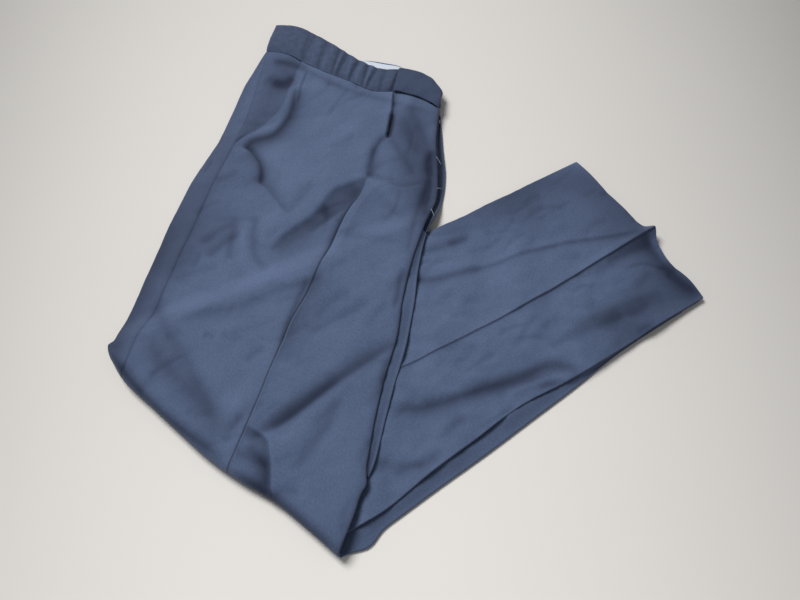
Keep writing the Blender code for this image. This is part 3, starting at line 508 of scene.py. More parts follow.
def upper(u, run, out=0.0, depth=0.0, height=None):
    """A point of the upper half. Run is -1 at the band's edge, 0 at the waist seam, 1 where the knees' roll
    starts and 2 where the roll meets the table. Out is sideways past the share u, depth is below the
    surface, and a height, where it is given, is above what the half lies on and takes the depth's place."""
    u, run, out, depth = np.broadcast_arrays(u, run, out, depth)
    knee = upper_plan(u, 1.0)
    start = 1 - ROLL / np.linalg.norm(knee - upper_plan(u, 0.0), axis=-1)
    v = np.where(run < 0, run, np.minimum(run, 1) * start)
    plan = upper_plan(u, v)
    step = np.where(u > 0.5, -0.01, 0.01)
    side = unit((upper_plan(u + step, v) - plan) * step[..., None])
    back = upper_plan(u, start) - knee
    thick = upper_thickness(u, v)
    depth = depth if height is None else thick - height
    angle = np.pi * np.clip(run - 1, 0, 1)[..., None]
    radius = 1 - depth[..., None] / ROLL
    rolled = knee + back * (1 - radius * np.sin(angle))
    plan = np.where(run[..., None] > 1, rolled, plan) + side * out[..., None]
    level = bed(plan) + thick - depth
    top = (bed(upper_plan(u, start)) + thick) / 2
    round_knee = top + (top - depth) * np.cos(angle[..., 0])
    z = np.where(run > 1, round_knee, level)
    return np.concatenate([plan, z[..., None]], axis=-1)


def lower(u, run, out=0.0, depth=0.0, height=None):
    """A point of the lower half, with run from 0 at the knees' fold to 1 at the hems."""
    u, run, out, depth = np.broadcast_arrays(u, run, out, depth)
    plan = lower_plan(u, run)
    step = np.where(u > 0.5, -0.01, 0.01)
    side = unit((lower_plan(u + step, run) - plan) * step[..., None])
    plan = plan + side * out[..., None]
    z = lower_thickness(u, run) - depth if height is None else np.broadcast_to(height, u.shape)
    return np.concatenate([plan, z[..., None]], axis=-1)


# Steps of the grid beside an edge and on both sides of a crease
EDGE_STEPS = np.array([0.0, 0.5, 1.2, 2.2]) * MM
CREASE_STEPS = np.array([-3.4, -2.0, -1.1, -0.5, 0.0, 0.5, 1.1, 2.0, 3.4]) * MM


def spread(width, *stops):
    """Shares across for each row, from edges and creases as (share for each row, steps beside it in metres).
    The cloth between them is divided evenly."""
    parts = []
    for (a, steps_a), (b, steps_b) in zip(stops[:-1], stops[1:]):
        first = a[:, None] + steps_a * width[:, None]
        low, high = first[:, -1], b + steps_b[0] * width
        count = max(int(np.ceil(np.median((high - low) / width) / CELL)), 1)
        parts.append(first)
        parts.append(low[:, None] + (high - low)[:, None] * np.arange(1, count) / count)
    last, steps = stops[-1]
    parts.append(last[:, None] + steps * width[:, None])
    return np.concatenate(parts, axis=1)


def turned(points, radius, tuck=0.0, turns=6):
    """The grid with its last column turned under on a radius, then tucked back in below itself."""
    edge = points[:, -1:]
    way = unit((edge - points[:, -3:-2]) * (1, 1, 0))
    below = unit(np.cross(way, np.gradient(edge, axis=0)))
    below = below * -np.sign(np.median(below[..., 2]))
    angles = np.pi * np.arange(1, turns + 1) / turns
    round_it = edge + radius * (way * np.sin(angles)[:, None] + below * (1 - np.cos(angles))[:, None])
    parts = [points, round_it]
    if tuck:
        steps = max(int(tuck / CELL), 2)
        parts.append(round_it[:, -1:] - way * tuck * (np.arange(1, steps + 1) / steps)[:, None])
    return np.concatenate(parts, axis=1)


def turned_left(points, radius, tuck=0.0, turns=6):
    """The same at the grid's first column."""
    return turned(points[:, ::-1], radius, tuck, turns)[:, ::-1]


def turned_end(points, radius, tuck=0.0, turns=6):
    """The same at the grid's last row."""
    return turned(points.transpose(1, 0, 2), radius, tuck, turns).transpose(1, 0, 2)


def turned_start(points, radius, tuck=0.0, turns=6):
    """The same at the grid's first row."""
    return turned_end(points[::-1], radius, tuck, turns)[::-1]


# Pieces of cloth, and their rows: the upper ones go on round the knees' roll
UPPER_ROWS = np.concatenate([np.linspace(0.0015, 1.0, 250), 1 + np.arange(1, 15) / 14])
LOWER_ROWS = np.linspace(0.006, 1.0, 270)


def flat_places(points, middle):
    """How far each place is across from one column and down from the first row, in metres along the cloth."""
    across = np.linalg.norm(np.diff(points, axis=1), axis=-1)
    u = np.concatenate([np.zeros((len(points), 1)), np.cumsum(across, axis=1)], axis=1)
    u = u - u[:, middle : middle + 1]
    down = np.linalg.norm(np.diff(points[:, middle], axis=0), axis=-1)
    v = np.concatenate([[0.0], np.cumsum(down)])
    return np.stack([u, np.broadcast_to(v[:, None], u.shape)], axis=-1)


def in_mesh(name, shape):
    """A mesh of the shape, which is freed."""
    mesh = bpy.data.meshes.new(name)
    shape.to_mesh(mesh)
    shape.free()
    return mesh


def placed(name, content):
    """A mesh, lamp or camera as an object in the scene."""
    made = bpy.data.objects.new(name, content)
    bpy.context.collection.objects.link(made)
    return made


def cloth(name, points, finish, thick=SERGE, wear_and_sheen=None, painted_shade=0.0, folds=(), shades=(), closed=False):
    """A shell of cloth on a grid of places, which are its outer face. Its mask of rubbed wear with painted
    sheen goes from 0 to 1; painted shade darkens its colour where given, in the folds' hollows and in shade
    patches."""
    rows, columns = points.shape[:2]
    shape = bmesh.new()
    bmesh.ops.create_grid(shape, x_segments=columns - 1, y_segments=rows - 1, size=1.0)
    mesh = in_mesh(name, shape)
    square = np.empty(len(mesh.vertices) * 3)
    mesh.vertices.foreach_get("co", square)
    at = np.rint((square.reshape(-1, 3)[:, :2] + 1) / 2 * (columns - 1, rows - 1)).astype(int)
    i, j = at[:, 0], at[:, 1]
    mesh.vertices.foreach_set("co", points[j, i].ravel())
    corners = np.empty(len(mesh.loops), int)
    mesh.loops.foreach_get("vertex_index", corners)
    places = flat_places(points, columns // 2)[j, i]
    mesh.uv_layers.new(name="weave").data.foreach_set("uv", places[corners].ravel())
    rubbed_and_sheen = mesh.attributes.new("wear_and_sheen", "FLOAT", "POINT")
    rubbed_and_sheen.data.foreach_set("value", np.zeros(len(i)) if wear_and_sheen is None else wear_and_sheen[j, i])
    # Painted shade: the colour darkens in the folds' hollows, in the shade patches and by each piece's own
    # amount
    sunk = np.maximum(-swell(folds, points[..., :2]) / DARK_DEPTH, 0) + swell(shades, points[..., :2])
    sunk = np.clip(sunk + np.broadcast_to(painted_shade, sunk.shape), 0, 1)
    mesh.attributes.new("sunk", "FLOAT", "POINT").data.foreach_set("value", sunk[j, i])
    mesh.update()
    if closed:
        weld(mesh)
    normals = np.empty(len(mesh.polygons) * 3)
    mesh.polygons.foreach_get("normal", normals)
    if not closed and normals[2::3].sum() < 0:
        mesh.flip_normals()
    mesh.materials.append(finish)
    mesh.shade_smooth()
    piece = placed(name, mesh)
    if thick:
        wall = piece.modifiers.new("wall", "SOLIDIFY")
        wall.thickness = thick
        wall.offset = -1.0
    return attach(piece, "root")


def weld(mesh):
    """Joins a tube along its length and turns its faces outwards."""
    shape = bmesh.new()
    shape.from_mesh(mesh)
    bmesh.ops.remove_doubles(shape, verts=shape.verts, dist=0.01 * MM)
    bmesh.ops.recalc_face_normals(shape, faces=shape.faces)
    if shape.calc_volume(signed=True) < 0:
        bmesh.ops.reverse_faces(shape, faces=shape.faces)
    shape.to_mesh(mesh)
    shape.free()


def sewn(piece, node):
    """The piece stands for its solid, which is hidden."""
    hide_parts(node)
    return piece


def per_metre(plan, run):
    """One metre across as a share, for each row."""
    return share(1.0, plan, np.clip(run, 0, 1))


def right_front(serge):
    """The right front: from the waist seam to round the knees, its inner edge folded under."""
    run = UPPER_ROWS
    section, width = smooth(UPPER_SECTIONS, run), per_metre(upper_plan, run)
    left = np.maximum(section[:, SIDE_SEAM], section[:, POCKET_MOUTH]) + LAYER_GAP * width
    right = 1 - FRONT_TURN * width
    pressed_at = section[:, UPPER_CREASE]
    u = spread(width, (left, EDGE_STEPS), (pressed_at, CREASE_STEPS), (right, -EDGE_STEPS[::-1]))
    seam, edge = (u - left[:, None]) / width[:, None], (right[:, None] - u) / width[:, None]
    crease = (u - pressed_at[:, None]) / width[:, None]
    pucker = np.exp(-seam / SEAM_REACH)
    out = bulge(run, *FRONT_BULGE) * np.exp(-edge / (8 * MM))
    points = upper(u, run[:, None], out, depth=SEAM_GROOVE * pucker)
    points = turned_start(turned(turned_left(points, TURN, FRONT_TUCK), FRONT_TURN), SEAM_TURN)
    # Painted shade along the crease, the seam and the inner edge, and a lighter line by the crease that is
    #     painted sheen on its ridge together with rubbed wear
    pressed_in = ease((run - 0.3) / 0.1)[:, None]
    line = 0.7 * hill(crease, -0.6 * MM, 1.0 * MM)
    beside_line = 0.3 * np.exp(-np.abs(crease) / (3.5 * MM)) * (crease < 0)
    beside_seam = 0.28 * np.exp(-seam / (20 * MM)) * ease((run - 0.45) / 0.2)[:, None]
    by_edge = 0.5 * np.exp(-edge / (3 * MM))
    painted_shade = 0.3 * pucker + beside_seam + by_edge + pressed_in * (line + beside_line)
    rubbed_and_sheen = 0.7 * ease((run - 0.55) / 0.1)[:, None] * hill(crease, 0.6 * MM, 0.5 * MM)
    margin = ((6, 0), (points.shape[1] - u.shape[1] - 6, 6))
    painted_shade = np.pad(painted_shade - rubbed_and_sheen, margin, mode="edge")
    piece = cloth(
        "right_front_cloth", points, serge, wear_and_sheen=np.pad(rubbed_and_sheen, margin), painted_shade=painted_shade, folds=UPPER_FOLDS,
        shades=UPPER_SHADES,
    )
    return sewn(piece, "right_front")


def right_back_side(serge):
    """The right back where it rolls round the outer edge, from the side seam."""
    run = UPPER_ROWS
    section, width = smooth(UPPER_SECTIONS, run), per_metre(upper_plan, run)
    left = EDGE_FOLD * width
    seam = np.maximum(section[:, SIDE_SEAM], left + 4 * MM * width)
    u = spread(width, (left, np.array([0.0, 0.8]) * MM), (seam, np.array([-1.0, -0.4, 0.0]) * MM))
    past_knee = (run - 1) * np.where(run < 1, 0.45, np.pi * ROLL)
    peak = bulge(past_knee, *KNEE_PEAK) * np.linspace(1, 0, u.shape[1])
    sunk = SEAM_GROOVE * np.exp((u - seam[:, None]) / width[:, None] / SEAM_REACH)
    points = upper(u, run[:, None], -peak, depth=sunk)
    points = turned(turned_left(points, EDGE_FOLD, turns=8), TURN, 2 * MM)
    # Painted shade over the side's roll, darker towards the outline, the knees and in the seam's groove
    outwards = ease((seam[:, None] - u) / (seam - left)[:, None])
    by_knee = 0.55 + 0.6 * ease((run - 0.4) / 0.35)[:, None]
    painted_shade = (0.28 + 0.36 * outwards) * by_knee + 0.6 * sunk / MM
    painted_shade = np.pad(painted_shade, ((0, 0), (8, points.shape[1] - u.shape[1] - 8)), mode="edge")
    # A faint painted sheen with rubbed wear over the whole side
    wear_and_sheen = np.full(points.shape[:2], 0.1)
    piece = cloth(
        "right_back_side_cloth", points, serge, wear_and_sheen=wear_and_sheen, painted_shade=painted_shade, folds=UPPER_FOLDS, shades=UPPER_SHADES,
    )
    return sewn(piece, "right_back_side")


def right_hip(serge):
    """The pocket's hip piece, from the side seam to under the slant pocket's mouth."""
    run = np.linspace(0.0015, 0.336, 70)
    section, width = smooth(UPPER_SECTIONS, run), per_metre(upper_plan, run)
    edge = np.maximum(section[:, SIDE_SEAM], (EDGE_FOLD + 4 * MM) * width) + LAYER_GAP * width
    mouth = np.maximum(section[:, POCKET_MOUTH], edge + 1 * MM * width)
    under = mouth + 8 * MM * width
    u = spread(width, (edge, EDGE_STEPS), (under, np.array([-0.5, 0.0]) * MM))
    sunk = ease((u - edge[:, None]) / (mouth - edge)[:, None]) ** 2 * (WALL + LAYER_GAP)
    points = turned_start(upper(u, run[:, None], depth=sunk), SEAM_TURN)
    # Painted shade over the whole hip piece
    piece = cloth("right_hip_cloth", points, serge, painted_shade=0.33, folds=UPPER_FOLDS, shades=UPPER_SHADES)
    return sewn(piece, "right_hip")


def left_edge_strip(name, node, serge, first, last, flat, painted_shade, fall):
    """The left leg's folded inner edge where it shows past the right one. Fall is the share of the way past
    it over which the edge sinks from under the right leg."""
    run = np.linspace(first, last, int(flat[1] / CELL))
    width = per_metre(upper_plan, run)
    past = np.maximum(smooth(UPPER_SECTIONS, run)[:, LEFT_SHOWS] * CM - STRIP_TURN, 0.4 * MM)
    inset = np.array([HIDDEN_LAP, 8 * MM, 6 * MM, STEP_INSET, 3 * MM, 1.5 * MM, 0.0])
    lap = 1 - inset * width[:, None]
    share_out = np.linspace(0, 1, 9)[1:]
    beyond = past[:, None] * share_out
    u = np.concatenate([lap, np.ones_like(beyond)], axis=1)
    out = np.concatenate([0 * lap, beyond], axis=1)
    thick = upper_thickness(1.0, run)[:, None]
    under_edge = thick - 2 * FRONT_TURN - LAYER_GAP
    low = 2 * LOW_TURN + LAYER_GAP / 2
    rise = low + (under_edge - low) * ease(1 - inset / STEP_INSET)
    sinking = under_edge + (2 * STRIP_TURN + LAYER_GAP - under_edge) * ease(share_out / fall)
    rise = np.concatenate([rise, sinking], axis=1)
    points = turned(upper(u, run[:, None], out, height=rise), STRIP_TURN)
    # Painted shade over the strip, less of it at the outer lip
    lip = 0.55 * np.concatenate([np.zeros(len(inset)), ease((share_out - 0.7) / 0.3), np.ones(6)])
    piece = cloth(name, points, serge, painted_shade=painted_shade * (1 - lip))
    return sewn(piece, node)


def hidden_profile(place, plan, run, top, floor, past):
    """Round a half's hidden layers: a rounded fold at the outer edge, a flat underside at the floor's height,
    and at the inner edge a step over the strip that laps in under the front. Past is how far the front's
    edge is from the outline, and top is the depth of the upper surface."""
    rows = run[:, None]
    width = per_metre(plan, run)[:, None]
    low = place(0 * width, rows, height=0.0)[..., 2]
    room = place(0 * width, rows)[..., 2] - low - 2 * EDGE_FOLD - 2 * LAYER_GAP
    faces, backs = [], []
    for inset, high, bottom in LOBE:
        faces.append(place(inset * MM * width, rows, height=high * room))
        backs.append(place(inset * MM * width, rows, height=np.maximum(bottom * room, floor)))
    first, last = LOBE_INSET * width, 1 - (past + LAP_INSET) * width
    inner = first + (last - first) * np.linspace(0, 1, 100)
    faces.append(place(inner, rows, depth=top(inner, rows)))
    backs.append(place(inner, rows, height=floor))
    for inset in (past + LAP_INSET - LAYER_GAP, past + STEP_INSET):
        u = 1 - inset * width
        faces.append(place(u, rows, depth=top(u, rows) + 2 * LAYER_GAP))
        backs.append(place(u, rows, depth=2 * EDGE_FOLD - LAYER_GAP / 2 + 0 * u))
    face, back = np.concatenate(faces, axis=1), np.concatenate(backs, axis=1)
    return np.concatenate([face, back[:, ::-1], face[:, :1]], axis=1)


def upper_layers(serge):
    """The upper half's hidden layers: the right back, then the left leg's back and front."""
    run = np.concatenate([np.linspace(-0.97, 0.0, 24), np.linspace(0.006, 1.0, 170), [1.1, 1.2, 1.34]])

    def top(u, rows):
        hip = (1 - ease((u - 0.30) / 0.06)) * (1 - ease((rows - 0.30) / 0.06))
        band = 1 - ease((rows - 0.005) / 0.03)
        return WALL + 2 * LAYER_GAP + HIP_ROOM * np.maximum(hip, band) + BAND_ROOM * band

    points = hidden_profile(upper, upper_plan, run, top, 0.0, np.zeros((len(run), 1)))
    # Painted shade on the hidden layers, standing in for the shade in the slits where they show
    piece = cloth("upper_layers_cloth", points, serge, painted_shade=0.6, closed=True)
    return sewn(piece, "upper_layers")


def inner_leaf(serge):
    """The left back's edge at the waist opening, between the right back and the left front."""
    run = np.linspace(-0.975, -0.2, 24)
    u = np.linspace(0.03, 0.96, 110)
    sag = 0.5 * MM * np.sin(u * 19) * np.sin(u * 7 + 1)
    piece = cloth("left_back_leaf", upper(u, run[:, None], height=3.4 * MM + sag), serge, thick=1.4 * MM)
    return piece


def waistband_right(serge):
    """The right half of the waistband, gathered in waves, its top and its outer end folded under."""
    run = np.linspace(-1, -0.006, 22)[:, None]
    width = per_metre(upper_plan, np.zeros(1))[0]
    left, under_tab = EDGE_FOLD * width, 0.93
    u = left + (under_tab - left) * np.linspace(0, 1, 190)
    waves = np.zeros((len(run), u.shape[-1]))
    for at, wide, high in BAND_WAVES:
        lean = WAVES_LEAN * np.sin(70 * at) * (1 + run)
        waves += WAVES_FULLER * high * MM * hill(u - at, lean, wide)
    fullness = 0.5 + 0.5 * np.sin(np.pi * np.clip(-run, 0, 1)) ** 0.6
    edge = 0.5 * MM * ease((run + 0.10) / 0.09)
    waves = waves + ripple(upper_plan(u, run), 0.3 * MM, 1.6 * CM, 8)
    points = upper(u, run, depth=-BAND_LIFT - waves * fullness + edge)
    points = turned_start(turned_left(points, EDGE_FOLD), BAND_TURN, BAND_TUCK)
    points = turned_end(points, 0.7 * MM)
    # Painted shade on the band: a painted shadow by the tab's end, and more in the valleys of the waves
    by_tab = 0.5 * hill(u, TAB_END + 0.002, 0.012)
    painted_shade = 0.58 + by_tab - waves / (7 * MM)
    painted_shade = np.pad(painted_shade, ((len(points) - len(run) - 6, 6), (6, 0)), mode="edge")
    piece = cloth("waistband_right_cloth", points, serge, painted_shade=painted_shade)
    return sewn(piece, "waistband_right")


def waistband_tab(serge):
    """The left end of the waistband, which comes round the fold and lies fastened over the right half."""
    run = np.linspace(-1.01, -0.005, 22)[:, None]
    width = per_metre(upper_plan, np.zeros(1))[0]
    right = 1 - TAB_ROUND * width
    left = TAB_END + 0.022 * (1 + run)
    u = left + (right - left) * np.linspace(0, 1, 44)
    waves = ripple(upper_plan(u, run), 0.4 * MM, 3 * CM, 9)
    points = upper(u, run, depth=-BAND_LIFT - BAND_WALL - LAYER_GAP - waves)
    points = turned_left(turned(points, TAB_ROUND, turns=8), BAND_TURN, BAND_TUCK)
    points = turned_end(turned_start(points, BAND_TURN, BAND_TUCK), BAND_TURN, 3 * MM)
    # Painted shade over the tab
    piece = cloth("waistband_tab_cloth", points, serge, painted_shade=0.66)
    return sewn(piece, "waistband_tab")


def fly_tacks():
    """The pale tacks that hold the left fly edge to the right one, each a short bowed thread."""
    shape = bmesh.new()
    for run, slant in FLY_TACKS:
        start = upper(1.0, run - slant, out=-1.5 * MM, depth=-0.3 * MM)
        end = upper(1.0, run + slant, out=5 * MM, depth=4 * MM)
        bow = np.array([0, 0, 1.2 * MM])
        along = [start + (end - start) * t + bow * 4 * t * (1 - t) for t in np.linspace(0, 1, 9)]
        for a, b in zip(along[:-1], along[1:]):
            way = Vector(b - a)
            made = bmesh.ops.create_cone(
                shape, cap_ends=True, segments=8, radius1=THREAD, radius2=THREAD, depth=way.length * 1.2,
            )
            bmesh.ops.rotate(shape, verts=made["verts"], matrix=way.to_track_quat("Z", "Y").to_matrix())
            bmesh.ops.translate(shape, verts=made["verts"], vec=Vector((a + b) / 2))
    mesh = in_mesh("fly_tacks", shape)
    mesh.materials.append(thread_finish())
    mesh.shade_smooth()
    threads = placed("fly_tacks", mesh)
    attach(threads, "root")


def waistband_back(name, node, finish, reach, top):
    """A stretch of the back waistband, or of its facing, that shows where the front one dips."""
    across = np.linspace(0.50, 0.76, 56)
    rise = reach * np.sin(np.pi * np.linspace(0, 1, 56)) ** 0.7
    run = -0.7 + np.linspace(0, 1, 12)[:, None] * (-0.3 - rise)
    u = np.broadcast_to(across, run.shape)
    points = turned_end(upper(u, run, depth=top), 0.5 * MM)
    piece = cloth(name, points, finish, thick=0.5 * MM)
    return sewn(piece, node)


def left_front(serge):
    """The left front below the knees, on top of the lower half, its edges folded under, its hem turned up."""
    run = LOWER_ROWS
    section, width = smooth(LOWER_SECTIONS, run), per_metre(lower_plan, run)
    left = EDGE_FOLD * width
    right = 1 - section[:, RIGHT_SHOWS] * CM * width - FRONT_TURN * width
    pressed_at = section[:, LOWER_CREASE]
    u = spread(width, (left, EDGE_STEPS), (pressed_at, CREASE_STEPS), (right, -EDGE_STEPS[::-1]))
    points = turned(turned_left(lower(u, run[:, None]), EDGE_FOLD), FRONT_TURN)
    points = turned_end(points, HEM_FOLD, HEM_DEPTH)
    crease = (u - pressed_at[:, None]) / width[:, None]
    # Painted shade beside the pressed crease, deeper towards the hem
    deeper = (0.6 + 0.4 * ease(run / 0.8))[:, None]
    painted_shade = 0.85 * hill(crease, 1.2 * MM, 1.4 * MM) * deeper
    painted_shade = np.pad(painted_shade, ((0, len(points) - len(run)), (6, 6)), mode="edge")
    piece = cloth("left_front_cloth", points, serge, painted_shade=painted_shade, folds=LOWER_FOLDS, shades=LOWER_SHADES)
    return sewn(piece, "left_front")


def right_back_strip(serge):
    """The right leg's folded inner edge below the knees, where it shows past the left front."""
    run = np.linspace(0.004, 0.94, 172)
    width = per_metre(lower_plan, run)
    past = smooth(LOWER_SECTIONS, run)[:, RIGHT_SHOWS] * CM
    inner, edge = 1 - (past + HIDDEN_LAP) * width, 1 - STRIP_TURN * width
    across = np.linspace(0, 1, 22)
    u = inner[:, None] + (edge - inner)[:, None] * across
    out = bulge(run, *STRIP_BULGE) * across**2
    shown = ((1 - u) / width[:, None] - STRIP_TURN) / np.maximum(past, 1 * MM)[:, None]
    under_edge = lower_thickness(1.0, run)[:, None] - 2 * FRONT_TURN - LAYER_GAP
    low = 2 * LOW_TURN + LAYER_GAP / 2
    rise = low + (under_edge - low) * ease(1 - (shown - 1) * past[:, None] / STEP_INSET)
    sinking = under_edge + (2 * STRIP_TURN + LAYER_GAP - under_edge) * ease(1 - shown)
    high = np.where(shown > 1, rise, sinking)
    points = turned(lower(u, run[:, None], out, height=high), STRIP_TURN)
    # Painted shade over the strip, with the lower half's shade patches
    piece = cloth("right_back_strip_cloth", points, serge, painted_shade=0.15, shades=LOWER_SHADES)
    return sewn(piece, "right_back_strip")


def lower_layers(serge):
    """The lower half's hidden layers: the left back, then the right leg's back and front."""
    run = np.concatenate([[0.0205, 0.0235], np.linspace(0.03, 0.94, 180)])
    floor = np.where(run < 0.024, WALL + 1.5 * LAYER_GAP, 0.0)[:, None]
    past = smooth(LOWER_SECTIONS, run)[:, RIGHT_SHOWS, None] * CM

    def top(u, rows):
        return WALL + 2 * LAYER_GAP + 0 * u * rows

    points = hidden_profile(lower, lower_plan, run, top, floor, past)
    # Painted shade on the hidden layers, standing in for the shade in the slits where they show
    piece = cloth("lower_layers_cloth", points, serge, painted_shade=0.6, closed=True)
    return sewn(piece, "lower_layers")


def hem_layer(node, serge, high, inset, reach):
    """One of the hidden layers' hems, at a share of the pile's height, set in from the edges."""
    run = np.linspace(0.902, reach, 22)
    section, width = smooth(LOWER_SECTIONS, run), per_metre(lower_plan, run)
    edge = inset * width
    pressed_at = section[:, LOWER_CREASE]
    u = spread(width, (edge, EDGE_STEPS), (pressed_at, CREASE_STEPS), (1 - edge, -EDGE_STEPS[::-1]))
    rows = run[:, None]
    points = lower(u, rows, height=np.maximum(high * lower_thickness(u, rows), 2 * MM))
    points = turned_end(points, INNER_HEM_FOLD, HEM_DEPTH)
    piece = cloth(f"{node}_cloth", points, serge)
    return sewn(piece, node)


# Finishes: the colours of each, its ribs to the metre and its share of lint
SERGE_DARK = (0.064, 0.092, 0.167, 1)
SERGE_LIGHT = (0.109, 0.153, 0.272, 1)
# The rubbed colours stand for rubbed wear with painted sheen; the shade colours are painted shade
SERGE_WEAR_AND_SHEEN = (0.090, 0.110, 0.150, 1)
SERGE_SHADE = (0.006, 0.010, 0.030, 1)
SERGE_RIBS = 1150
SERGE_LINT = 0.012
FACING_DARK = (0.50, 0.57, 0.66, 1)
FACING_LIGHT = (0.70, 0.76, 0.86, 1)
FACING_WEAR_AND_SHEEN = (0.6, 0.66, 0.74, 1)
FACING_SHADE = (0.08, 0.09, 0.12, 1)
FACING_RIBS = 1500
SHEEN_TINT = (0.75, 0.84, 1.0, 1.0)
LINT_COLOUR = (0.42, 0.45, 0.5, 1.0)
THREAD_DARK = (0.16, 0.26, 0.34, 1.0)
THREAD_LIGHT = (0.42, 0.52, 0.60, 1.0)
METAL_DARK = (0.62, 0.62, 0.64, 1.0)
METAL_LIGHT = (0.86, 0.86, 0.86, 1.0)
TABLE_DARK = (0.74, 0.719, 0.694, 1.0)
TABLE_LIGHT = (0.776, 0.755, 0.73, 1.0)
# How far the table's colour is painted darker towards its sides and its back, a painted falloff of the lamp's
# light
GREYER_SIDES = 1.4
GREYEST_SIDE = 0.4
GREYER_BACK = 0.4
GREYEST = 0.45


def add_node(tree, kind, inputs=(), **settings):
    """A shader node with its settings, and its inputs given as values or as sockets to link."""
    made = tree.nodes.new(kind)
    for name, value in settings.items():
        setattr(made, name, value)
    for name, value in dict(inputs).items():
        if isinstance(value, bpy.types.NodeSocket):
            tree.links.new(value, made.inputs[name])
        else:
            made.inputs[name].default_value = value
    return made


def sums(tree, operation, a, b=0.0, c=0.0):
    """A sum, product or comparison of values or sockets."""
    return add_node(tree, "ShaderNodeMath", {0: a, 1: b, 2: c}, operation=operation).outputs[0]


def noise(tree, place, scale, detail, rough=0.5):
    """An uneven pattern over the places, from 0 to 1."""
    inputs = {"Vector": place, "Scale": scale, "Detail": detail, "Roughness": rough}
    return add_node(tree, "ShaderNodeTexNoise", inputs).outputs["Fac"]


def twill_weave():
    """A twill's slanting ribs and the threads that cross them, on the cloth's own flat places in metres."""
    group = bpy.data.node_groups.new("twill_weave", "ShaderNodeTree")
    group.interface.new_socket("Places", in_out="INPUT", socket_type="NodeSocketVector")
    pitch = group.interface.new_socket("Ribs per metre", in_out="INPUT", socket_type="NodeSocketFloat")
    pitch.default_value = 1200.0
    group.interface.new_socket("Height", in_out="OUTPUT", socket_type="NodeSocketFloat")
    group.interface.new_socket("Tone", in_out="OUTPUT", socket_type="NodeSocketFloat")
    given = group.nodes.new("NodeGroupInput")
    result = group.nodes.new("NodeGroupOutput")
    place = add_node(group, "ShaderNodeSeparateXYZ", {0: given.outputs["Places"]})
    turn = sums(group, "MULTIPLY", given.outputs["Ribs per metre"], 2 * np.pi)
    slant = sums(group, "ADD", place.outputs["X"], place.outputs["Y"])
    cross = sums(group, "SUBTRACT", sums(group, "MULTIPLY", place.outputs["X"], 1.7), place.outputs["Y"])
    ribs = sums(group, "SINE", sums(group, "MULTIPLY", slant, turn))
    threads = sums(group, "SINE", sums(group, "MULTIPLY", cross, turn))
    uneven = noise(group, given.outputs["Places"], scale=700.0, detail=3.0)
    height = sums(group, "MULTIPLY_ADD", threads, 0.3, sums(group, "MULTIPLY", ribs, 0.7))
    height = sums(group, "MULTIPLY_ADD", uneven, 1.6, height)
    group.links.new(height, result.inputs["Height"])
    tone = sums(group, "MULTIPLY_ADD", height, 0.18, 0.36)
    group.links.new(tone, result.inputs["Tone"])
    return group


def mixed(tree, share_of_b, a, b):
    """A blend of two colours, each a value or a socket."""
    return add_node(tree, "ShaderNodeMix", {0: share_of_b, 6: a, 7: b}, data_type="RGBA").outputs[2]


def new_finish(name):
    """A material, its tree of nodes, its shader and the places on the piece in the frame."""
    made = bpy.data.materials.new(name)
    made.use_nodes = True
    tree = made.node_tree
    place = add_node(tree, "ShaderNodeTexCoord").outputs["Object"]
    return made, tree, tree.nodes["Principled BSDF"], place


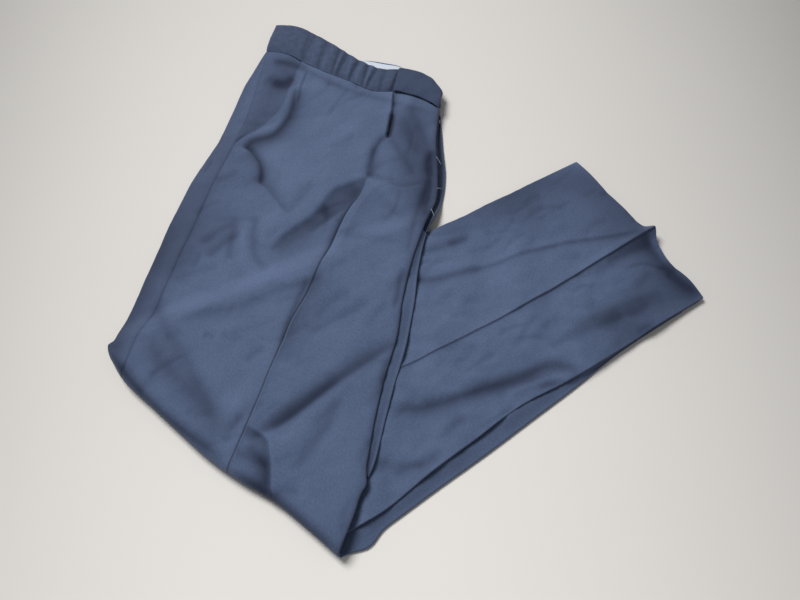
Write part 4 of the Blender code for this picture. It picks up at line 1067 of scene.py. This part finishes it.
def cloth_finish(name, weave, dark, light, rubbed_and_sheen, shade, ribs, sheen=0.18, lint=0.0):
    """Woven cloth: uneven dye, its weave and fine fuzz, rubbed wear with painted sheen, painted shade, and a
    few specks of lint.
    """
    made, tree, shader, place = new_finish(name)
    shader.inputs["Sheen Weight"].default_value = sheen
    shader.inputs["Sheen Roughness"].default_value = 0.5
    shader.inputs["Sheen Tint"].default_value = SHEEN_TINT
    shader.inputs["Specular IOR Level"].default_value = 0.2
    flat = add_node(tree, "ShaderNodeUVMap", uv_map="weave").outputs["UV"]
    woven = add_node(tree, "ShaderNodeGroup", node_tree=weave)
    woven.inputs["Ribs per metre"].default_value = ribs
    tree.links.new(flat, woven.inputs["Places"])
    mottle = noise(tree, place, scale=14.0, detail=6.0, rough=0.65)
    grain = noise(tree, flat, scale=420.0, detail=2.0)
    tone = sums(tree, "MULTIPLY_ADD", mottle, 0.9, woven.outputs["Tone"])
    tone = sums(tree, "MULTIPLY_ADD", grain, 1.1, sums(tree, "SUBTRACT", tone, 1.0))
    colour = mixed(tree, tone, dark, light)
    # Rubbed wear with a painted sheen, mixed in where its mask says
    wear_and_sheen = add_node(tree, "ShaderNodeAttribute", attribute_name="wear_and_sheen").outputs["Fac"]
    patchy = sums(tree, "MULTIPLY", wear_and_sheen, sums(tree, "MULTIPLY_ADD", mottle, 0.8, 0.2))
    colour = mixed(tree, patchy, colour, rubbed_and_sheen)
    # Painted shade: the colour mixed towards the shade colour where the sunk attribute asks
    sunk = add_node(tree, "ShaderNodeAttribute", attribute_name="sunk").outputs["Fac"]
    colour = mixed(tree, sums(tree, "MULTIPLY", sunk, 0.9), colour, shade)
    specks = add_node(tree, "ShaderNodeTexVoronoi", {"Vector": place, "Scale": 95.0, "Randomness": 1.0})
    chance = add_node(tree, "ShaderNodeSeparateColor", {0: specks.outputs["Color"]}).outputs[0]
    rare = sums(tree, "GREATER_THAN", chance, 1.0 - lint)
    small = sums(tree, "LESS_THAN", specks.outputs["Distance"], 0.045)
    colour = mixed(tree, sums(tree, "MULTIPLY", rare, small), colour, LINT_COLOUR)
    tree.links.new(colour, shader.inputs["Base Color"])
    rough = sums(tree, "MULTIPLY_ADD", grain, 0.2, 0.72)
    tree.links.new(rough, shader.inputs["Roughness"])
    fuzz = sums(tree, "MULTIPLY_ADD", grain, 2.2, woven.outputs["Height"])
    bump = add_node(tree, "ShaderNodeBump", {"Height": fuzz, "Strength": 0.35, "Distance": 0.12 * MM})
    tree.links.new(bump.outputs["Normal"], shader.inputs["Normal"])
    return made


def thread_finish():
    """Pale cotton thread with its twist."""
    made, tree, shader, place = new_finish("pale_thread")
    twist = noise(tree, place, scale=1800.0, detail=2.0)
    tree.links.new(mixed(tree, twist, THREAD_DARK, THREAD_LIGHT), shader.inputs["Base Color"])
    shader.inputs["Roughness"].default_value = 0.7
    return made


def metal_finish():
    """Bright plated wire, a little scuffed."""
    made, tree, shader, place = new_finish("bright_metal_finish")
    shader.inputs["Metallic"].default_value = 1.0
    scuffs = noise(tree, place, scale=900.0, detail=4.0)
    tree.links.new(mixed(tree, scuffs, METAL_DARK, METAL_LIGHT), shader.inputs["Base Color"])
    tree.links.new(sums(tree, "MULTIPLY_ADD", scuffs, 0.3, 0.12), shader.inputs["Roughness"])
    return made


def table_finish():
    """Pale matt paper, darkened towards its sides and its back by a painted falloff of light."""
    made, tree, shader, place = new_finish("pale_table")
    spot = add_node(tree, "ShaderNodeSeparateXYZ", {0: place})
    from_middle = sums(tree, "MULTIPLY", spot.outputs["X"], spot.outputs["X"])
    sides = sums(tree, "MULTIPLY_ADD", from_middle, -GREYER_SIDES, 1.0)
    sides = sums(tree, "MAXIMUM", sides, GREYEST_SIDE)
    back = sums(tree, "MULTIPLY_ADD", spot.outputs["Y"], -GREYER_BACK, 1.0)
    # Painted falloff of the light, darker towards the sides and the back
    painted_falloff = sums(tree, "MAXIMUM", sums(tree, "MULTIPLY", sides, back), GREYEST)
    colour = mixed(tree, noise(tree, place, scale=3.0, detail=3.0), TABLE_DARK, TABLE_LIGHT)
    colour = add_node(tree, "ShaderNodeVectorMath", {0: colour, 1: painted_falloff}, operation="MULTIPLY").outputs[0]
    tree.links.new(colour, shader.inputs["Base Color"])
    shader.inputs["Roughness"].default_value = 0.8
    return made


# Table, light and camera
TABLE_REACH = 3.0
TABLE_TOP = -0.2 * MM
LAMP_PLACE = Vector((-1.55, 1.45, 2.9))
LAMP_SIZE = 1.5
LAMP_POWER = 128.0
LAMP_COLOUR = (1.0, 0.99, 0.97)
ROOM_COLOUR = (0.98, 0.99, 1.0, 1.0)
ROOM_STRENGTH = 0.23
CAMERA_TILT = np.radians(62)
CAMERA_REACH = 0.86
CAMERA_LENS = 36


def lay_table():
    """The pale flat surface under the trousers."""
    shape = bmesh.new()
    bmesh.ops.create_grid(shape, x_segments=2, y_segments=2, size=TABLE_REACH)
    bmesh.ops.translate(shape, verts=shape.verts, vec=(0, 0, TABLE_TOP))
    mesh = in_mesh("floor", shape)
    mesh.materials.append(table_finish())
    floor = placed("floor", mesh)


def studio():
    """A pale room and one soft square lamp, high up behind the waistband's end."""
    scene = bpy.context.scene
    scene.view_settings.view_transform = "Standard"
    world = bpy.data.worlds.new("soft_room")
    world.use_nodes = True
    background = world.node_tree.nodes["Background"]
    background.inputs["Color"].default_value = ROOM_COLOUR
    background.inputs["Strength"].default_value = ROOM_STRENGTH
    scene.world = world
    lamp = bpy.data.lights.new("window", "AREA")
    lamp.size = LAMP_SIZE
    lamp.energy = LAMP_POWER
    lamp.color = LAMP_COLOUR
    window = placed("window", lamp)
    window.location = LAMP_PLACE
    window.rotation_euler = (-LAMP_PLACE).to_track_quat("-Z", "Y").to_euler()


def camera():
    """The photograph's angle and distance: its middle is the corner that the outlines are measured from."""
    made = placed("camera", bpy.data.cameras.new("camera"))
    made.data.lens = CAMERA_LENS
    made.data.sensor_width = CAMERA_LENS
    aim = Vector((-MIDDLE[0], -MIDDLE[1], 0.0))
    made.location = aim + Vector((0, -np.cos(CAMERA_TILT), np.sin(CAMERA_TILT))) * CAMERA_REACH
    made.rotation_euler = (np.pi / 2 - CAMERA_TILT, 0, 0)
    bpy.context.scene.camera = made


def main():
    camera()
    studio()
    lay_table()
    weave = twill_weave()
    serge = cloth_finish(
        "navy_serge_cloth", weave, SERGE_DARK, SERGE_LIGHT, SERGE_WEAR_AND_SHEEN, SERGE_SHADE, SERGE_RIBS,
        lint=SERGE_LINT,
    )
    facing = cloth_finish(
        "pale_facing_cloth", weave, FACING_DARK, FACING_LIGHT, FACING_WEAR_AND_SHEEN, FACING_SHADE, FACING_RIBS,
        sheen=0.1,
    )
    right_front(serge)
    right_back_side(serge)
    right_hip(serge)
    # The fly's strip takes full painted shade, a painted shadow under the right front's edge; the inseam's
    # strip a little
    left_edge_strip(
        "left_fly_edge_cloth", "left_fly_edge", serge, first=0.004, last=0.3335, flat=(0.031, 0.185),
        painted_shade=1.0, fall=0.4,
    )
    left_edge_strip(
        "left_inseam_edge_cloth", "left_inseam_edge", serge, first=0.336, last=0.87, flat=(0.031, 0.29),
        painted_shade=0.1, fall=1.0,
    )
    fly_tacks()
    upper_layers(serge)
    inner_leaf(serge)
    waistband_right(serge)
    waistband_tab(serge)
    waistband_back(
        "waistband_back_cloth", "waistband_back", serge, reach=0.38, top=3.7 * MM,
    )
    waistband_back(
        "waistband_facing_cloth", "waistband_facing", facing, reach=0.30, top=2.5 * MM,
    )
    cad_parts["hook_end"].data.materials.clear()
    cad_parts["hook_end"].data.materials.append(metal_finish())
    left_front(serge)
    right_back_strip(serge)
    lower_layers(serge)
    hem_layer("left_back_hem", serge, high=0.70, inset=6.5 * MM, reach=0.994)
    hem_layer("right_back_hem", serge, high=0.42, inset=1.5 * MM, reach=0.998)
    hem_layer("right_front_hem", serge, high=0.20, inset=1.0 * MM, reach=0.992)


main()
